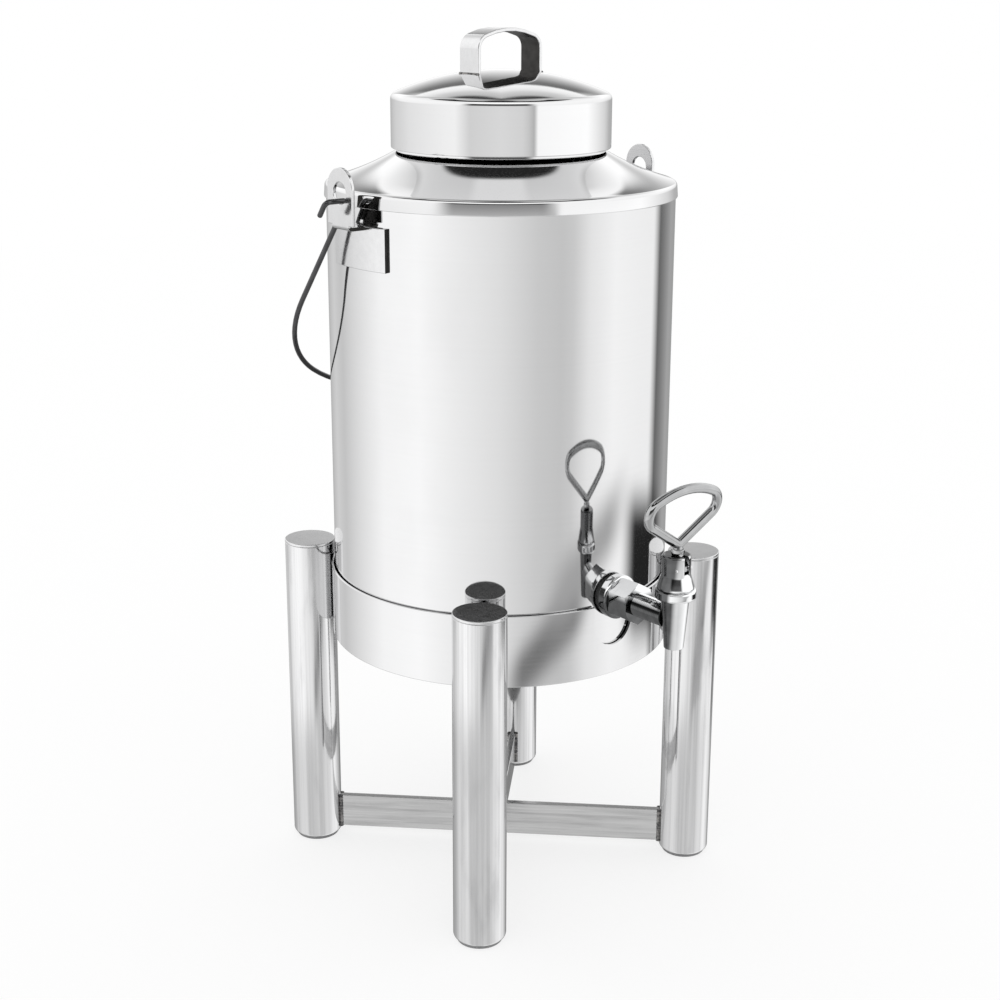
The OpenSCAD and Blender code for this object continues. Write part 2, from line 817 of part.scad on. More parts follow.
// The bell-shaped bonnet: a spring chamber, a guide for the stem and a slot for the lever
module bonnet() {
    rim = 1.5;
    edge = 0.6;
    foot_h = 2;
    taper_h = 10;
    foot = union_bore/2 - weld_gap;
    lip_z = union_top - union_lip - weld_gap;
    cheek = slot_w/2;
    color("silver")
        difference() {
            translate([0, tap_y, 0])
                rotate_extrude()
                    polygon(concat(
                        [[0, bonnet_z], [foot, bonnet_z], [foot, lip_z], [waist_d/2, lip_z]],
                        [[waist_d/2, bonnet_base], [bonnet_foot_d/2 - edge, bonnet_base]],
                        [[bonnet_foot_d/2, bonnet_base + edge], [bonnet_foot_d/2, bonnet_base + foot_h]],
                        [[bonnet_top_d/2, bonnet_base + taper_h]],
                        arc([bonnet_top_d/2 - rim, bonnet_top - rim], rim, 0, 90, 8),
                        [[0, bonnet_top]]));
            translate([0, tap_y, bonnet_z - cut])
                cylinder(h = web_z - bonnet_z + cut, d = chamber_bore);
            translate([0, tap_y, web_z - cut])
                cylinder(h = web_t + 2*cut, d = stem_d + 2*run_gap);
            translate([0, tap_y, web_top])
                cylinder(h = bonnet_h, d = stem_head_d + 2*slide_gap);
            translate([-cheek, tap_y - bonnet_foot_d, pin_z - eye_r - slide_gap])
                cube([slot_w, bonnet_foot_d + toe_r + slide_gap, bonnet_h]);
            translate([-bonnet_foot_d, pin_y, pin_z])
                rotate([0, 90, 0])
                    cylinder(h = 2*bonnet_foot_d, d = pin_d + 2*weld_gap);
        }
}

// The pin through the bonnet's cheeks that the lever turns on
module lever_pin() {
    half = sqrt(pow(bonnet_top_d/2, 2) - pow(pin_out, 2)) - rest_gap;
    color("silver")
        translate([-half, pin_y, pin_z])
            rotate([0, 90, 0])
                cylinder(h = 2*half, d = pin_d);
}

// The tongue of the lever in Y and Z about the pin: an eye, a toe under the stem's cross pin
// and a neck up to the loop's foot
module tongue_profile() {
    neck = [loop_foot_y - pin_y, loop_foot_z - pin_z];
    slope = atan2(neck.y, neck.x);
    neck_half = 0.8*eye_r;
    difference() {
        union() {
            circle(r = eye_r);
            translate([0, -toe_r])
                square([pin_out, 2*toe_r]);
            translate([pin_out, 0])
                circle(r = toe_r);
            rotate(slope)
                translate([0, -neck_half])
                    square([norm(neck) + loop_bar/2, 2*neck_half]);
        }
        circle(d = pin_d + 2*run_gap);
    }
}

// One side of the lever's loop in its own plane, with its foot at the origin
module loop_side() {
    foot_joint = loop_foot + loop_foot_r*loop_side_n;
    corner_joint = loop_corner + loop_corner_r*loop_side_n;
    bar_run(foot_joint, corner_joint, loop_bar);
    bar_bend(loop_corner, loop_corner_r, loop_side_a, loop_crown_a, loop_bar);
}

// The loop lever: a finger loop on a slim tongue, leaning forward at rest
module loop_lever() {
    boss_d = 9;
    boss_h = 3;
    color("silver")
        union() {
            translate([0, loop_foot_y, loop_foot_z + loop_bar/2])
                rotate([90 + lever_lean, 0, 0]) {
                    loop_side();
                    mirror([1, 0, 0])
                        loop_side();
                    bar_bend(loop_foot, loop_foot_r, -180 - loop_side_a, loop_side_a, loop_bar);
                    bar_crown(loop_crown, loop_crown_r, loop_crown_a, loop_bar);
                }
            translate([0, loop_foot_y, loop_foot_z - boss_h/2])
                cylinder(h = boss_h, d = boss_d);
            translate([-tongue_t/2, pin_y, pin_z])
                rotate([90, 0, 90])
                    linear_extrude(tongue_t)
                        tongue_profile();
        }
}

// The valve stem, forked at the top to straddle the lever's toe
module valve_stem() {
    color("silver")
        translate([0, tap_y, 0])
            difference() {
                union() {
                    translate([0, 0, stem_z])
                        cylinder(h = head_z - stem_z + fork_floor_t/2, d = stem_d);
                    translate([0, 0, head_z])
                        cylinder(h = head_top - head_z, d = stem_head_d);
                }
                translate([-slot_w/2, -stem_head_d, fork_z])
                    cube([slot_w, 2*stem_head_d, bonnet_h]);
                translate([-stem_head_d, 0, stem_pin_z])
                    rotate([0, 90, 0])
                        cylinder(h = 2*stem_head_d, d = stem_pin_d + weld_gap);
            }
}

// The cross pin through the fork, which the lever's toe lifts
module stem_pin() {
    half = sqrt(pow(stem_head_d/2, 2) - pow(stem_pin_d/2, 2)) - weld_gap;
    color("darkgray")
        translate([-half, tap_y, stem_pin_z])
            rotate([0, 90, 0])
                cylinder(h = 2*half, d = stem_pin_d);
}

// The rubber cup on the stem that closes the valve seat
module seat_cup() {
    edge = 1;
    rim_h = 4;
    neck_z = cup_z + 7;
    bore = (stem_d + weld_gap)/2;
    sleeve = stem_d/2 + 1.4;
    color("dimgray")
        translate([0, tap_y, 0])
            rotate_extrude()
                polygon([
                    [0, cup_z], [cup_d/2 - edge, cup_z], [cup_d/2, cup_z + edge], [cup_d/2, cup_z + rim_h],
                    [sleeve, neck_z], [sleeve, cup_top], [bore, cup_top],
                    [bore, stem_z - weld_gap], [0, stem_z - weld_gap]]);
}

// The return spring round the stem: one unbroken coil between the cup and the web
module tap_spring() {
    count = spring_turns*rings_per_turn;
    climb = spring_h - spring_wire;
    pitch = climb/spring_turns;
    lean = atan2(pitch, 2*PI*spring_r);
    points = [
        for (i = [0 : count], k = [0 : ring_sides - 1])
            let (
                t = 360*i/rings_per_turn,
                s = 360*k/ring_sides,
                out = [cos(t), sin(t), 0],
                up = [sin(t)*sin(lean), -cos(t)*sin(lean), cos(lean)],
                middle = [spring_r*cos(t), spring_r*sin(t), spring_wire/2 + climb*i/count])
            middle + spring_wire/2*(cos(s)*out + sin(s)*up)
    ];
    sides = [
        for (i = [0 : count - 1], k = [0 : ring_sides - 1])
            let (a = i*ring_sides + k, b = i*ring_sides + (k + 1)%ring_sides)
            each [[a, a + ring_sides, b], [b, a + ring_sides, b + ring_sides]]
    ];
    first = [for (k = [1 : ring_sides - 2]) [0, k, k + 1]];
    last = [for (k = [1 : ring_sides - 2]) [count*ring_sides, count*ring_sides + k + 1, count*ring_sides + k]];
    echo(least_gap_between_turns = pitch*cos(lean) - spring_wire);
    color("darkgray")
        translate([0, tap_y, spring_z])
            polyhedron(points = points, faces = concat(first, last, sides));
}

leg(0);  // leg_front_left
leg(1);  // leg_front_right
leg(2);  // leg_rear_left
leg(3);  // leg_rear_right
leg_cap(0);  // leg_cap_front_left
leg_cap(1);  // leg_cap_front_right
leg_cap(2);  // leg_cap_rear_left
leg_cap(3);  // leg_cap_rear_right
foot_glide(0);  // foot_glide_front_left
foot_glide(1);  // foot_glide_front_right
foot_glide(2);  // foot_glide_rear_left
foot_glide(3);  // foot_glide_rear_right
support_ring();
seat_ledge();
cross_bar_lower();
cross_bar_upper();
vessel_wall();
vessel_floor();
shoulder();
neck_ring();
ear_left();
ear_right();
tap_body();
tap_outer_seal();
tap_flange();
tap_nut();
tap_inner_seal();
tap_lock_nut();
union_ring();
bonnet();
lever_pin();
tap_spring();
lid_shell();
lid_handle();
lid_gasket();
bail_wire();
loop_lever();
valve_stem();
stem_pin();
seat_cup();
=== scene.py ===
import math

import bpy
from mathutils import Euler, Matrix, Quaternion, Vector


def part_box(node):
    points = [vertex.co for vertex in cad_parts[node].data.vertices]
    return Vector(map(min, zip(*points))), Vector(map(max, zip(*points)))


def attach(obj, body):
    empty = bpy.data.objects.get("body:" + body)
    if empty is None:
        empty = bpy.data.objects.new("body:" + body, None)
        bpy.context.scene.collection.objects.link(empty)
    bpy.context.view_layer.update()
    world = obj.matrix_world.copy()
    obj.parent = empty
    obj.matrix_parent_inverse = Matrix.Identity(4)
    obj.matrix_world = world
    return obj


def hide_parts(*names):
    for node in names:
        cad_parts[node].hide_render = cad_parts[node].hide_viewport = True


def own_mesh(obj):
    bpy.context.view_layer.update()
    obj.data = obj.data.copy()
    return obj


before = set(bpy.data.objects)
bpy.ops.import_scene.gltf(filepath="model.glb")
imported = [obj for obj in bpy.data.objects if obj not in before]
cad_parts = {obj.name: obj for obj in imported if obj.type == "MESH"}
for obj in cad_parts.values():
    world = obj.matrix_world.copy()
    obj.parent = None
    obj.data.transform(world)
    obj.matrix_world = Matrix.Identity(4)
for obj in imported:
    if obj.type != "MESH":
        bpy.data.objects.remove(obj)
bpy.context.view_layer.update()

# Camera: a long lens a little above the lid, left of the tap and tilted down at the stand.
# The frame is shifted so that the legs' feet and the lid's handle both stay in view.
camera_reach = 1.1535
camera_height = 0.623
camera_turn = math.radians(-39.72)
camera_tilt = math.radians(-16.16)
camera_roll = math.radians(0.19)
lens_mm = 60.9
frame_shift = -0.0282

bpy.ops.object.camera_add(location=(
    math.sin(camera_turn)*camera_reach,
    -math.cos(camera_turn)*camera_reach,
    camera_height))
camera = bpy.context.object
camera.rotation_mode = "QUATERNION"
camera.rotation_quaternion = (
    Euler((math.pi/2 + camera_tilt, 0, camera_turn)).to_quaternion()
    @ Quaternion((0, 0, 1), camera_roll))
camera.data.sensor_width = 36
camera.data.lens = lens_mm
camera.data.shift_y = frame_shift
bpy.context.scene.camera = camera
bpy.context.scene.view_settings.view_transform = "Standard"


# Legs: four lengths of stainless tube, spun in at the foot and polished along their length.
# Each stands against the support ring, to which it is welded.
leg_wall = 0.0015
leg_lip = 0.003
leg_top_edge = 0.0004
corners = ("front_left", "front_right", "rear_left", "rear_right")


def arc(centre, radius, start, end, steps=8):
    """Points of an arc as (across, up) pairs, from one angle in degrees to another."""
    angles = [math.radians(start + (end - start)*i/steps) for i in range(steps + 1)]
    return [(centre[0] + radius*math.cos(a), centre[1] + radius*math.sin(a)) for a in angles]


def picked(*pieces):
    """Selects some pieces and nothing else, the first one active."""
    bpy.ops.object.select_all(action="DESELECT")
    for piece in pieces:
        piece.select_set(True)
    bpy.context.view_layer.objects.active = pieces[0]


def named(name):
    """The object that was just added, under its own name."""
    piece = bpy.context.object
    piece.name = name
    piece.data.name = name
    return piece


def drawn_line(name, points, seed=0.001):
    """A new mesh with one line of edges through the points, grown from a seed and left in edit mode."""
    bpy.ops.object.select_all(action="DESELECT")
    bpy.ops.mesh.primitive_plane_add(size=seed, location=points[0])
    piece = named(name)
    bpy.ops.object.mode_set(mode="EDIT")
    bpy.ops.mesh.merge(type="CENTER")
    for here, there in zip(points, points[1:]):
        bpy.ops.mesh.extrude_region_move(TRANSFORM_OT_translate={"value": there - here})
    bpy.ops.mesh.select_all(action="SELECT")
    return piece


def closed_up(gap=2e-6):
    """Merges doubles, points the faces outwards and leaves edit mode with the place applied."""
    bpy.ops.mesh.select_all(action="SELECT")
    bpy.ops.mesh.remove_doubles(threshold=gap)
    bpy.ops.mesh.normals_make_consistent(inside=False)
    bpy.ops.object.mode_set(mode="OBJECT")
    bpy.ops.object.transform_apply(location=True, rotation=True, scale=True)


def turned(name, profile, middle, along=(0, 0, 1), steps=96):
    """A piece turned round an axis from a closed profile of (radius, distance along) pairs."""
    along = Vector(along)
    middle = Vector(middle)
    out = Vector((1, 0, 0))
    points = [middle + out*r + along*d for r, d in profile]
    piece = drawn_line(name, points + points[:1])
    bpy.ops.mesh.spin(steps=steps, angle=2*math.pi, center=middle, axis=along)
    closed_up()
    return piece


def fitted(piece, body, finish, nodes, smooth=32):
    """Gives a piece its finish and its place on a body, instead of the solids it stands for."""
    picked(piece)
    bpy.ops.object.shade_smooth_by_angle(angle=math.radians(smooth))
    flats = piece.modifiers.new("flats", "WEIGHTED_NORMAL")
    flats.weight = 100
    flats.keep_sharp = True
    bpy.ops.object.modifier_apply(modifier=flats.name)
    piece.data.materials.clear()
    piece.data.materials.append(finish)
    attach(piece, body)
    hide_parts(*nodes)


def copied(piece, name, shift):
    """A second piece like the first, with its own mesh, moved by a shift."""
    picked(piece)
    bpy.ops.object.duplicate()
    twin = named(name)
    bpy.ops.transform.translate(value=shift)
    bpy.ops.object.transform_apply(location=True, rotation=True, scale=True)
    return twin


def on_each_leg(first, piece_name, node_name, finish):
    """Fits a piece to the first leg and copies of it to the other three."""
    first_low, first_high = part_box(node_name + corners[0])
    for corner in corners:
        low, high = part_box(node_name + corner)
        shift = (low + high)/2 - (first_low + first_high)/2
        piece = first if corner == corners[0] else copied(first, piece_name + corner, shift)
        fitted(piece, "stand", finish, [node_name + corner])


class Wire:
    """An output of a shader node, on which Python's operators add Math nodes."""

    def __init__(self, tree, socket=None):
        self.tree = tree
        self.socket = socket

    def node(self, kind, settings=None, inputs=None, output=0):
        """Any node: its type, its settings, its sockets' values or links, and the output taken."""
        made = self.tree.nodes.new(kind)
        for key, value in (settings or {}).items():
            if key == "stops":
                made.color_ramp.elements.remove(made.color_ramp.elements[1])
                for place, level in value:
                    made.color_ramp.elements.new(place).color = (level, level, level, 1)
                made.color_ramp.elements.remove(made.color_ramp.elements[0])
            else:
                setattr(made, key, value)
        for key, value in (inputs or {}).items():
            if isinstance(value, Wire):
                self.tree.links.new(value.socket, made.inputs[key])
            else:
                made.inputs[key].default_value = value
        return Wire(self.tree, made.outputs[output])

    def maths(self, operation, *values):
        return self.node("ShaderNodeMath", {"operation": operation}, dict(enumerate(values)))

    def __add__(self, other):
        return self.maths("ADD", self, other)

    def __sub__(self, other):
        return self.maths("SUBTRACT", self, other)

    def __rsub__(self, other):
        return self.maths("SUBTRACT", other, self)

    def __mul__(self, other):
        return self.maths("MULTIPLY", self, other)

    __radd__ = __add__
    __rmul__ = __mul__

    def steps(self, low, high):
        """A smooth rise from 0 at the low value to 1 at the high one."""
        return self.node(
            "ShaderNodeMapRange", {"interpolation_type": "SMOOTHSTEP"},
            {"Value": self, "From Min": low, "From Max": high})

    def noise(self, stretch, detail=2.0):
        """Cloudy noise with so many blotches to the metre along each axis."""
        place = self.node("ShaderNodeMapping", None, {"Vector": self, "Scale": stretch})
        return self.node(
            "ShaderNodeTexNoise", None, {"Vector": place, "Scale": 1.0, "Detail": detail})

    def blend(self, low, high):
        """A colour between two, by this share."""
        return self.node(
            "ShaderNodeMix", {"data_type": "RGBA"}, {0: self, 6: (*low, 1), 7: (*high, 1)}, 2)

    def bump(self, depth):
        """The surface's normals on relief of a depth in metres."""
        return self.node("ShaderNodeBump", None, {"Height": self, "Distance": depth})


def start_finish(name):
    """A new material, its main shader and the place on the piece that its patterns follow."""
    material = bpy.data.materials.new(name)
    material.use_nodes = True
    shader = material.node_tree.nodes["Principled BSDF"]
    place = Wire(material.node_tree).node("ShaderNodeTexCoord", output="Object")
    return material, shader, place


def set_finish(shader, values):
    """Links or sets the main shader's sockets."""
    for key, value in values.items():
        if isinstance(value, Wire):
            value.tree.links.new(value.socket, shader.inputs[key])
        else:
            shader.inputs[key].default_value = value


def polished_tube():
    """Tube polished lengthwise: fine upright streaks, hazy smudges and a little unevenness."""
    material, shader, place = start_finish("polished_tube")
    streaks = place.noise((420, 420, 4), 4.0).steps(0.35, 0.7)
    smudges = place.noise((70, 70, 14), 4.0).steps(0.5, 0.75)
    set_finish(shader, {
        "Base Color": (smudges*0.55 + streaks*0.45).blend((0.68, 0.68, 0.684), (0.46, 0.46, 0.464)),
        "Metallic": 1.0,
        "Roughness": 0.05 + smudges*0.1 + streaks*0.07,
        "Normal": (place.noise((60, 60, 6), 1.0) + streaks*0.03).bump(0.00015)})
    return material


tube_finish = polished_tube()
leg_low, leg_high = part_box("leg_front_left")
leg_r = (leg_high.x - leg_low.x)/2
leg_middle = (leg_low + leg_high)/2
leg_outline = (
    arc((leg_r - leg_lip, leg_low.z + leg_lip), leg_lip, -90, 0)
    + arc((leg_r - leg_top_edge, leg_high.z - leg_top_edge), leg_top_edge, 0, 90, 4)
    + [(leg_r - leg_wall, leg_high.z)]
    + arc((leg_r - leg_lip, leg_low.z + leg_lip), leg_lip - leg_wall, 0, -90))
leg_foot = (leg_middle.x, leg_middle.y, 0)
leg = turned("tube_front_left", leg_outline, leg_foot)
on_each_leg(leg, "tube_", "leg_", tube_finish)


# Leg discs: flat stainless discs welded over the tops of the legs and dressed flush.
# They are polished like a mirror, with an edge that is only just broken.
disc_edge = 0.0005
disc_low, disc_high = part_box("leg_cap_front_left")
disc_outline = (
    [(0, disc_low.z), (leg_r - disc_edge, disc_low.z)]
    + arc((leg_r - disc_edge, disc_low.z + disc_edge), disc_edge, -60, 0, 4)
    + arc((leg_r - disc_edge, disc_high.z - disc_edge), disc_edge, 0, 90, 5)
    + [(0, disc_high.z)])


def mirror_plate():
    """Small flat plate, buffed in all directions."""
    material, shader, place = start_finish("mirror_plate")
    swirl = place.noise((260, 260, 260), 5.0)
    set_finish(shader, {
        "Base Color": swirl.blend((0.68, 0.68, 0.684), (0.6, 0.6, 0.604)),
        "Metallic": 1.0,
        "Roughness": 0.1 + swirl*0.1,
        "Normal": place.noise((45, 45, 45), 1.0).bump(0.00008)})
    return material


plate_finish = mirror_plate()
disc = turned("disc_front_left", disc_outline, leg_foot)
on_each_leg(disc, "disc_", "leg_cap_", plate_finish)


# Foot glides: grey nylon plugs snapped into the spun-in ends of the legs.
# Only a thin line of each shows above the table.
glide_edge = 0.0006
glide_neck = 0.0007
glide_low, glide_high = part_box("foot_glide_front_left")
glide_r = (glide_high.x - glide_low.x)/2
glide_outline = (
    [(0, glide_low.z)]
    + arc((glide_r - glide_edge, glide_low.z + glide_edge), glide_edge, -90, 0, 4)
    + [(glide_r, leg_low.z), (glide_r - glide_neck, leg_low.z), (glide_r - glide_neck, glide_high.z)]
    + [(0, glide_high.z)])


def moulded_nylon():
    """Grey nylon with the fine grain of its mould."""
    material, shader, place = start_finish("moulded_nylon")
    grain = place.noise((1800, 1800, 1800), 2.0)
    set_finish(shader, {
        "Base Color": grain.blend((0.2, 0.2, 0.205), (0.27, 0.27, 0.275)),
        "Roughness": 0.42 + grain*0.2,
        "Normal": grain.bump(0.00005)})
    return material


nylon_finish = moulded_nylon()
glide = turned("glide_front_left", glide_outline, leg_foot, steps=64)
on_each_leg(glide, "glide_", "foot_glide_", nylon_finish)


# Support ring: a band of stainless strip rolled into a hoop, with a notch for the tap.
# A flat ledge welded inside its lower edge carries the vessel.
ring_t = 0.0016
ring_edge = 0.0005
notch_half = 0.017
notch_foot = 0.2122
notch_edge = 0.0004
notch_clear = 1.2
ring_low, ring_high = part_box("support_ring")
ring_r = (ring_high.x - ring_low.x)/2


def rounded_wall(inner, outer, low, high, edge):
    """Closed profile of an upright wall whose four edges are rounded."""
    return (
        arc((outer - edge, low + edge), edge, -90, 0, 4)
        + arc((outer - edge, high - edge), edge, 0, 90, 4)
        + arc((inner + edge, high - edge), edge, 90, 180, 4)
        + arc((inner + edge, low + edge), edge, 180, 270, 4))


def plate_from(name, outline, push):
    """A flat plate: an outline of points filled with one face and pushed to its thickness."""
    piece = drawn_line(name, [Vector(p) for p in outline])
    bpy.ops.mesh.edge_face_add()
    bpy.ops.mesh.extrude_region_move(TRANSFORM_OT_translate={"value": push})
    closed_up()
    return piece


def applied(piece):
    """Applies a piece's only modifier."""
    picked(piece)
    bpy.ops.object.modifier_apply(modifier=piece.modifiers[0].name)


def cut_by(piece, cutter, operation="DIFFERENCE"):
    """Cuts a piece with another shape, which is used up."""
    cut = piece.modifiers.new("cut", "BOOLEAN")
    cut.operation = operation
    cut.solver = "EXACT"
    cut.object = cutter
    applied(piece)
    bpy.data.objects.remove(cutter)


def softened(piece, width, angle=40, segments=3):
    """Breaks a piece's sharp edges."""
    bevel = piece.modifiers.new("edges", "BEVEL")
    bevel.width = width
    bevel.segments = segments
    bevel.limit_method = "ANGLE"
    bevel.angle_limit = math.radians(angle)
    applied(piece)


def mirror_sheet():
    """Sheet polished to a mirror: faint lines round the piece, thin smears and a slow ripple."""
    material, shader, place = start_finish("mirror_sheet")
    lines = place.noise((3, 3, 700), 3.0)
    smears = place.noise((14, 14, 9), 4.0).steps(0.5, 0.85)
    set_finish(shader, {
        "Base Color": (smears*0.5 + lines*0.3).blend((0.67, 0.67, 0.673), (0.62, 0.62, 0.623)),
        "Metallic": 1.0,
        "Roughness": 0.035 + smears*0.05 + lines*0.03,
        "Normal": place.noise((9, 9, 4), 1.0).bump(0.00015)})
    return material


sheet_finish = mirror_sheet()
band = turned(
    "ring_band", rounded_wall(ring_r - ring_t, ring_r, ring_low.z, ring_high.z, ring_edge),
    (0, 0, 0), steps=224)
notch_top = notch_clear*ring_high.z
notch_outline = (
    [(notch_half, notch_top), (-notch_half, notch_top)]
    + arc((0, notch_foot), notch_half, 180, 360, 24))
notch = plate_from(
    "notch_cutter", [(x, -notch_clear*ring_r, z) for x, z in notch_outline], (0, ring_r/2, 0))
cut_by(band, notch)
softened(band, notch_edge, 55)
fitted(band, "stand", sheet_finish, ["support_ring"])


def satin_steel():
    """Pressed sheet as it left the press: satin, with a fine even grain."""
    material, shader, place = start_finish("satin_steel")
    grain = place.noise((40, 40, 1200), 3.0)
    set_finish(shader, {
        "Base Color": grain.blend((0.6, 0.6, 0.605), (0.5, 0.5, 0.505)),
        "Metallic": 1.0,
        "Roughness": 0.22 + grain*0.14,
        "Normal": grain.bump(0.00002)})
    return material


def keeps_solid(node, finish):
    """A solid that is right as it is, with a better finish."""
    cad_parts[node].data.materials.clear()
    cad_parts[node].data.materials.append(finish)


satin_finish = satin_steel()
keeps_solid("seat_ledge", satin_finish)


# Cross bars: two flat stainless bars on edge, half-lapped where they cross.
# Their ends are welded to opposite legs with short upright beads.
bar_t = 0.005
bar_edge = 0.0005
lap_play = 0.00005
bead_r = 0.0016
bead_ripple = 0.25
bead_pitch = 0.7
bead_sink = bead_r/3
bead_spread = bead_r/4
bar_low, bar_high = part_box("cross_bar_lower")
bar_half = (bar_high.x - bar_low.x)/math.sqrt(2) - bar_t/2
bar_h = bar_high.z - bar_low.z
bar_middle = (bar_high.z + bar_low.z)/2


def block(name, middle, size, turn=0.0):
    """A rectangular block at its place, turned about the upright axis."""
    bpy.ops.object.select_all(action="DESELECT")
    bpy.ops.mesh.primitive_cube_add(size=1, location=middle, rotation=(0, 0, turn))
    piece = named(name)
    piece.scale = size
    bpy.ops.object.transform_apply(location=True, rotation=True, scale=True)
    return piece


def polished_bar():
    """Flat bar polished along its length, greyer than the tubes."""
    material, shader, place = start_finish("polished_bar")
    streaks = place.noise((9, 9, 520), 4.0).steps(0.3, 0.7)
    smudges = place.noise((16, 16, 150), 4.0).steps(0.4, 0.75)
    set_finish(shader, {
        "Base Color": (smudges*0.55 + streaks*0.45).blend((0.62, 0.62, 0.62), (0.36, 0.36, 0.36)),
        "Metallic": 1.0,
        "Roughness": 0.12 + smudges*0.1 + streaks*0.08,
        "Normal": streaks.bump(0.00003)})
    return material


def weld_steel():
    """Weld metal, left as it set: grey, darker in patches and dull."""
    material, shader, place = start_finish("weld_steel")
    tint = place.noise((500, 500, 500), 3.0)
    set_finish(shader, {
        "Base Color": tint.steps(0.35, 0.65).blend((0.3, 0.29, 0.28), (0.06, 0.06, 0.065)),
        "Metallic": 1.0,
        "Roughness": 0.3 + tint*0.3,
        "Normal": tint.bump(0.0002)})
    return material


def weld_bead(name, radius, length, start, along=(0, 0, 1)):
    """A rippled bead of weld metal from a start point along a line."""
    count = round(bead_pitch*length/radius)
    ripples = [
        (radius*(1 - bead_ripple*(i % 2)), length*i/(2*count))
        for i in range(2*count + 1)]
    return turned(name, [(0, 0)] + ripples + [(0, length)], start, along, 14)


bar_finish = polished_bar()
weld_finish = weld_steel()
for name, turn, lap in (("lower", math.pi/4, 1), ("upper", 3*math.pi/4, -1)):
    bar = block("bar_" + name, (0, 0, bar_middle), (2*bar_half, bar_t, bar_h), turn)
    slot_size = (bar_t + 2*lap_play, 3*bar_t, bar_h)
    cut_by(bar, block("lap_cutter", (0, 0, bar_middle + lap*(bar_h/2 - lap_play)), slot_size, turn))
    softened(bar, bar_edge)
    fitted(bar, "stand", bar_finish, ["cross_bar_" + name])
    along = Vector((math.cos(turn), math.sin(turn), 0))
    across = Vector((-along.y, along.x, 0))
    for end in (-1, 1):
        for side in (-1, 1):
            spot = along*end*(bar_half - bead_sink) + across*side*(bar_t/2 + bead_spread)
            spot.z = bar_low.z
            bead = weld_bead(f"weld_{name}_{(end + 1)//2}{(side + 1)//2}", bead_r, bar_h, spot)
            fitted(bead, "stand", weld_finish, [], 60)


# Vessel wall: stainless sheet rolled into a tube, welded, ground flush and mirror polished.
# The pressed floor sits inside it and stays satin.
wall_t = 0.0012
wall_edge = 0.0004
wall_low, wall_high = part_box("vessel_wall")
wall_r = (wall_high.x - wall_low.x)/2
wall = turned(
    "churn_wall", rounded_wall(wall_r - wall_t, wall_r, wall_low.z, wall_high.z, wall_edge),
    (0, 0, 0), steps=224)
fitted(wall, "vessel", sheet_finish, ["vessel_wall"])
keeps_solid("vessel_floor", satin_finish)


# Shoulder: one pressing with a short skirt over the wall, a low cone, dished so that it steepens
# towards the neck, and a collar. The skirt is seam-welded to the wall; the neck stands in the collar.
skirt_h = 0.007
shoulder_bend = 0.003
bend_start = 4
shoulder_slope = 15.9
neck_slope = 30
collar_h = 0.004
skirt_edge = 0.0006
skirt_taper = 0.0005
collar_in = 0.06885
collar_edge = 0.0005
shoulder_low, shoulder_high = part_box("shoulder")
skirt_r = (shoulder_high.x - shoulder_low.x)/2
bend_z = shoulder_low.z + skirt_h
cone_z = shoulder_high.z - collar_h
collar_out = collar_in + wall_t
cone_end = Vector((collar_out + collar_edge, cone_z - collar_edge))
bend_middle = (skirt_r - skirt_taper - shoulder_bend, bend_z)
bend_round = arc(bend_middle, shoulder_bend, bend_start, 90 - shoulder_slope, 10)
cone_run = cone_end - Vector(bend_round[-1])
dish_turn = math.radians((neck_slope - shoulder_slope)/2)
dish_r = cone_run.length/(2*math.sin(dish_turn))
dish_lift = Vector((cone_run.y, -cone_run.x)).normalized()*dish_r*math.cos(dish_turn)
dish_spot = cone_end - cone_run/2 + dish_lift
dish = arc(dish_spot, dish_r, 270 - shoulder_slope, 270 - neck_slope, 24)
dish_under = arc(dish_spot, dish_r + wall_t, 270 - neck_slope, 270 - shoulder_slope, 16)
shoulder_outline = (
    arc((skirt_r - skirt_edge, shoulder_low.z + skirt_edge), skirt_edge, -90, 0, 4)
    + bend_round + dish[1:-1] + [cone_end[:], (collar_out, cone_z + collar_edge)]
    + arc((collar_out - collar_edge, shoulder_high.z - collar_edge), collar_edge, 0, 90, 3)
    + [(collar_in, shoulder_high.z), (collar_in, cone_z - wall_t)] + dish_under[1:-1]
    + arc((skirt_r - shoulder_bend, bend_z), shoulder_bend - wall_t, 90 - shoulder_slope, 0, 6)
    + [(skirt_r - wall_t, shoulder_low.z)])
shoulder = turned("churn_shoulder", shoulder_outline, (0, 0, 0), steps=224)
fitted(shoulder, "vessel", sheet_finish, ["shoulder"])
keeps_solid("neck_ring", satin_finish)


# Ears: bent from 2.5 mm plate, with a base spot-welded to the wall, a narrow shelf
# and an upright eye with a wide hole for the bail. The left one mirrors the right one.
ear_t = 0.0025
ear_w = 0.027
ear_hole_r = 0.007
ear_hole_z = 0.495
ear_neck_half = 0.009
ear_base_half = 0.027
ear_base_h = 0.028
ear_bend = 0.001
ear_edge = 0.0005
eye_low, eye_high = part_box("ear_right")
eye_in = eye_high.x - ear_t
eye_z = eye_high.z - ear_w/2
base_top = eye_low.z + ear_base_h
upright_z = base_top + ear_bend


def joined(first, *others):
    """One piece made of several."""
    picked(first, *others)
    bpy.ops.object.join()
    return first


def thickened(sheet, thickness, offset):
    """Gives a bare sheet its thickness, to both sides (0) or outwards (1)."""
    wall = sheet.modifiers.new("thickness", "SOLIDIFY")
    wall.thickness = thickness
    wall.offset = offset
    applied(sheet)


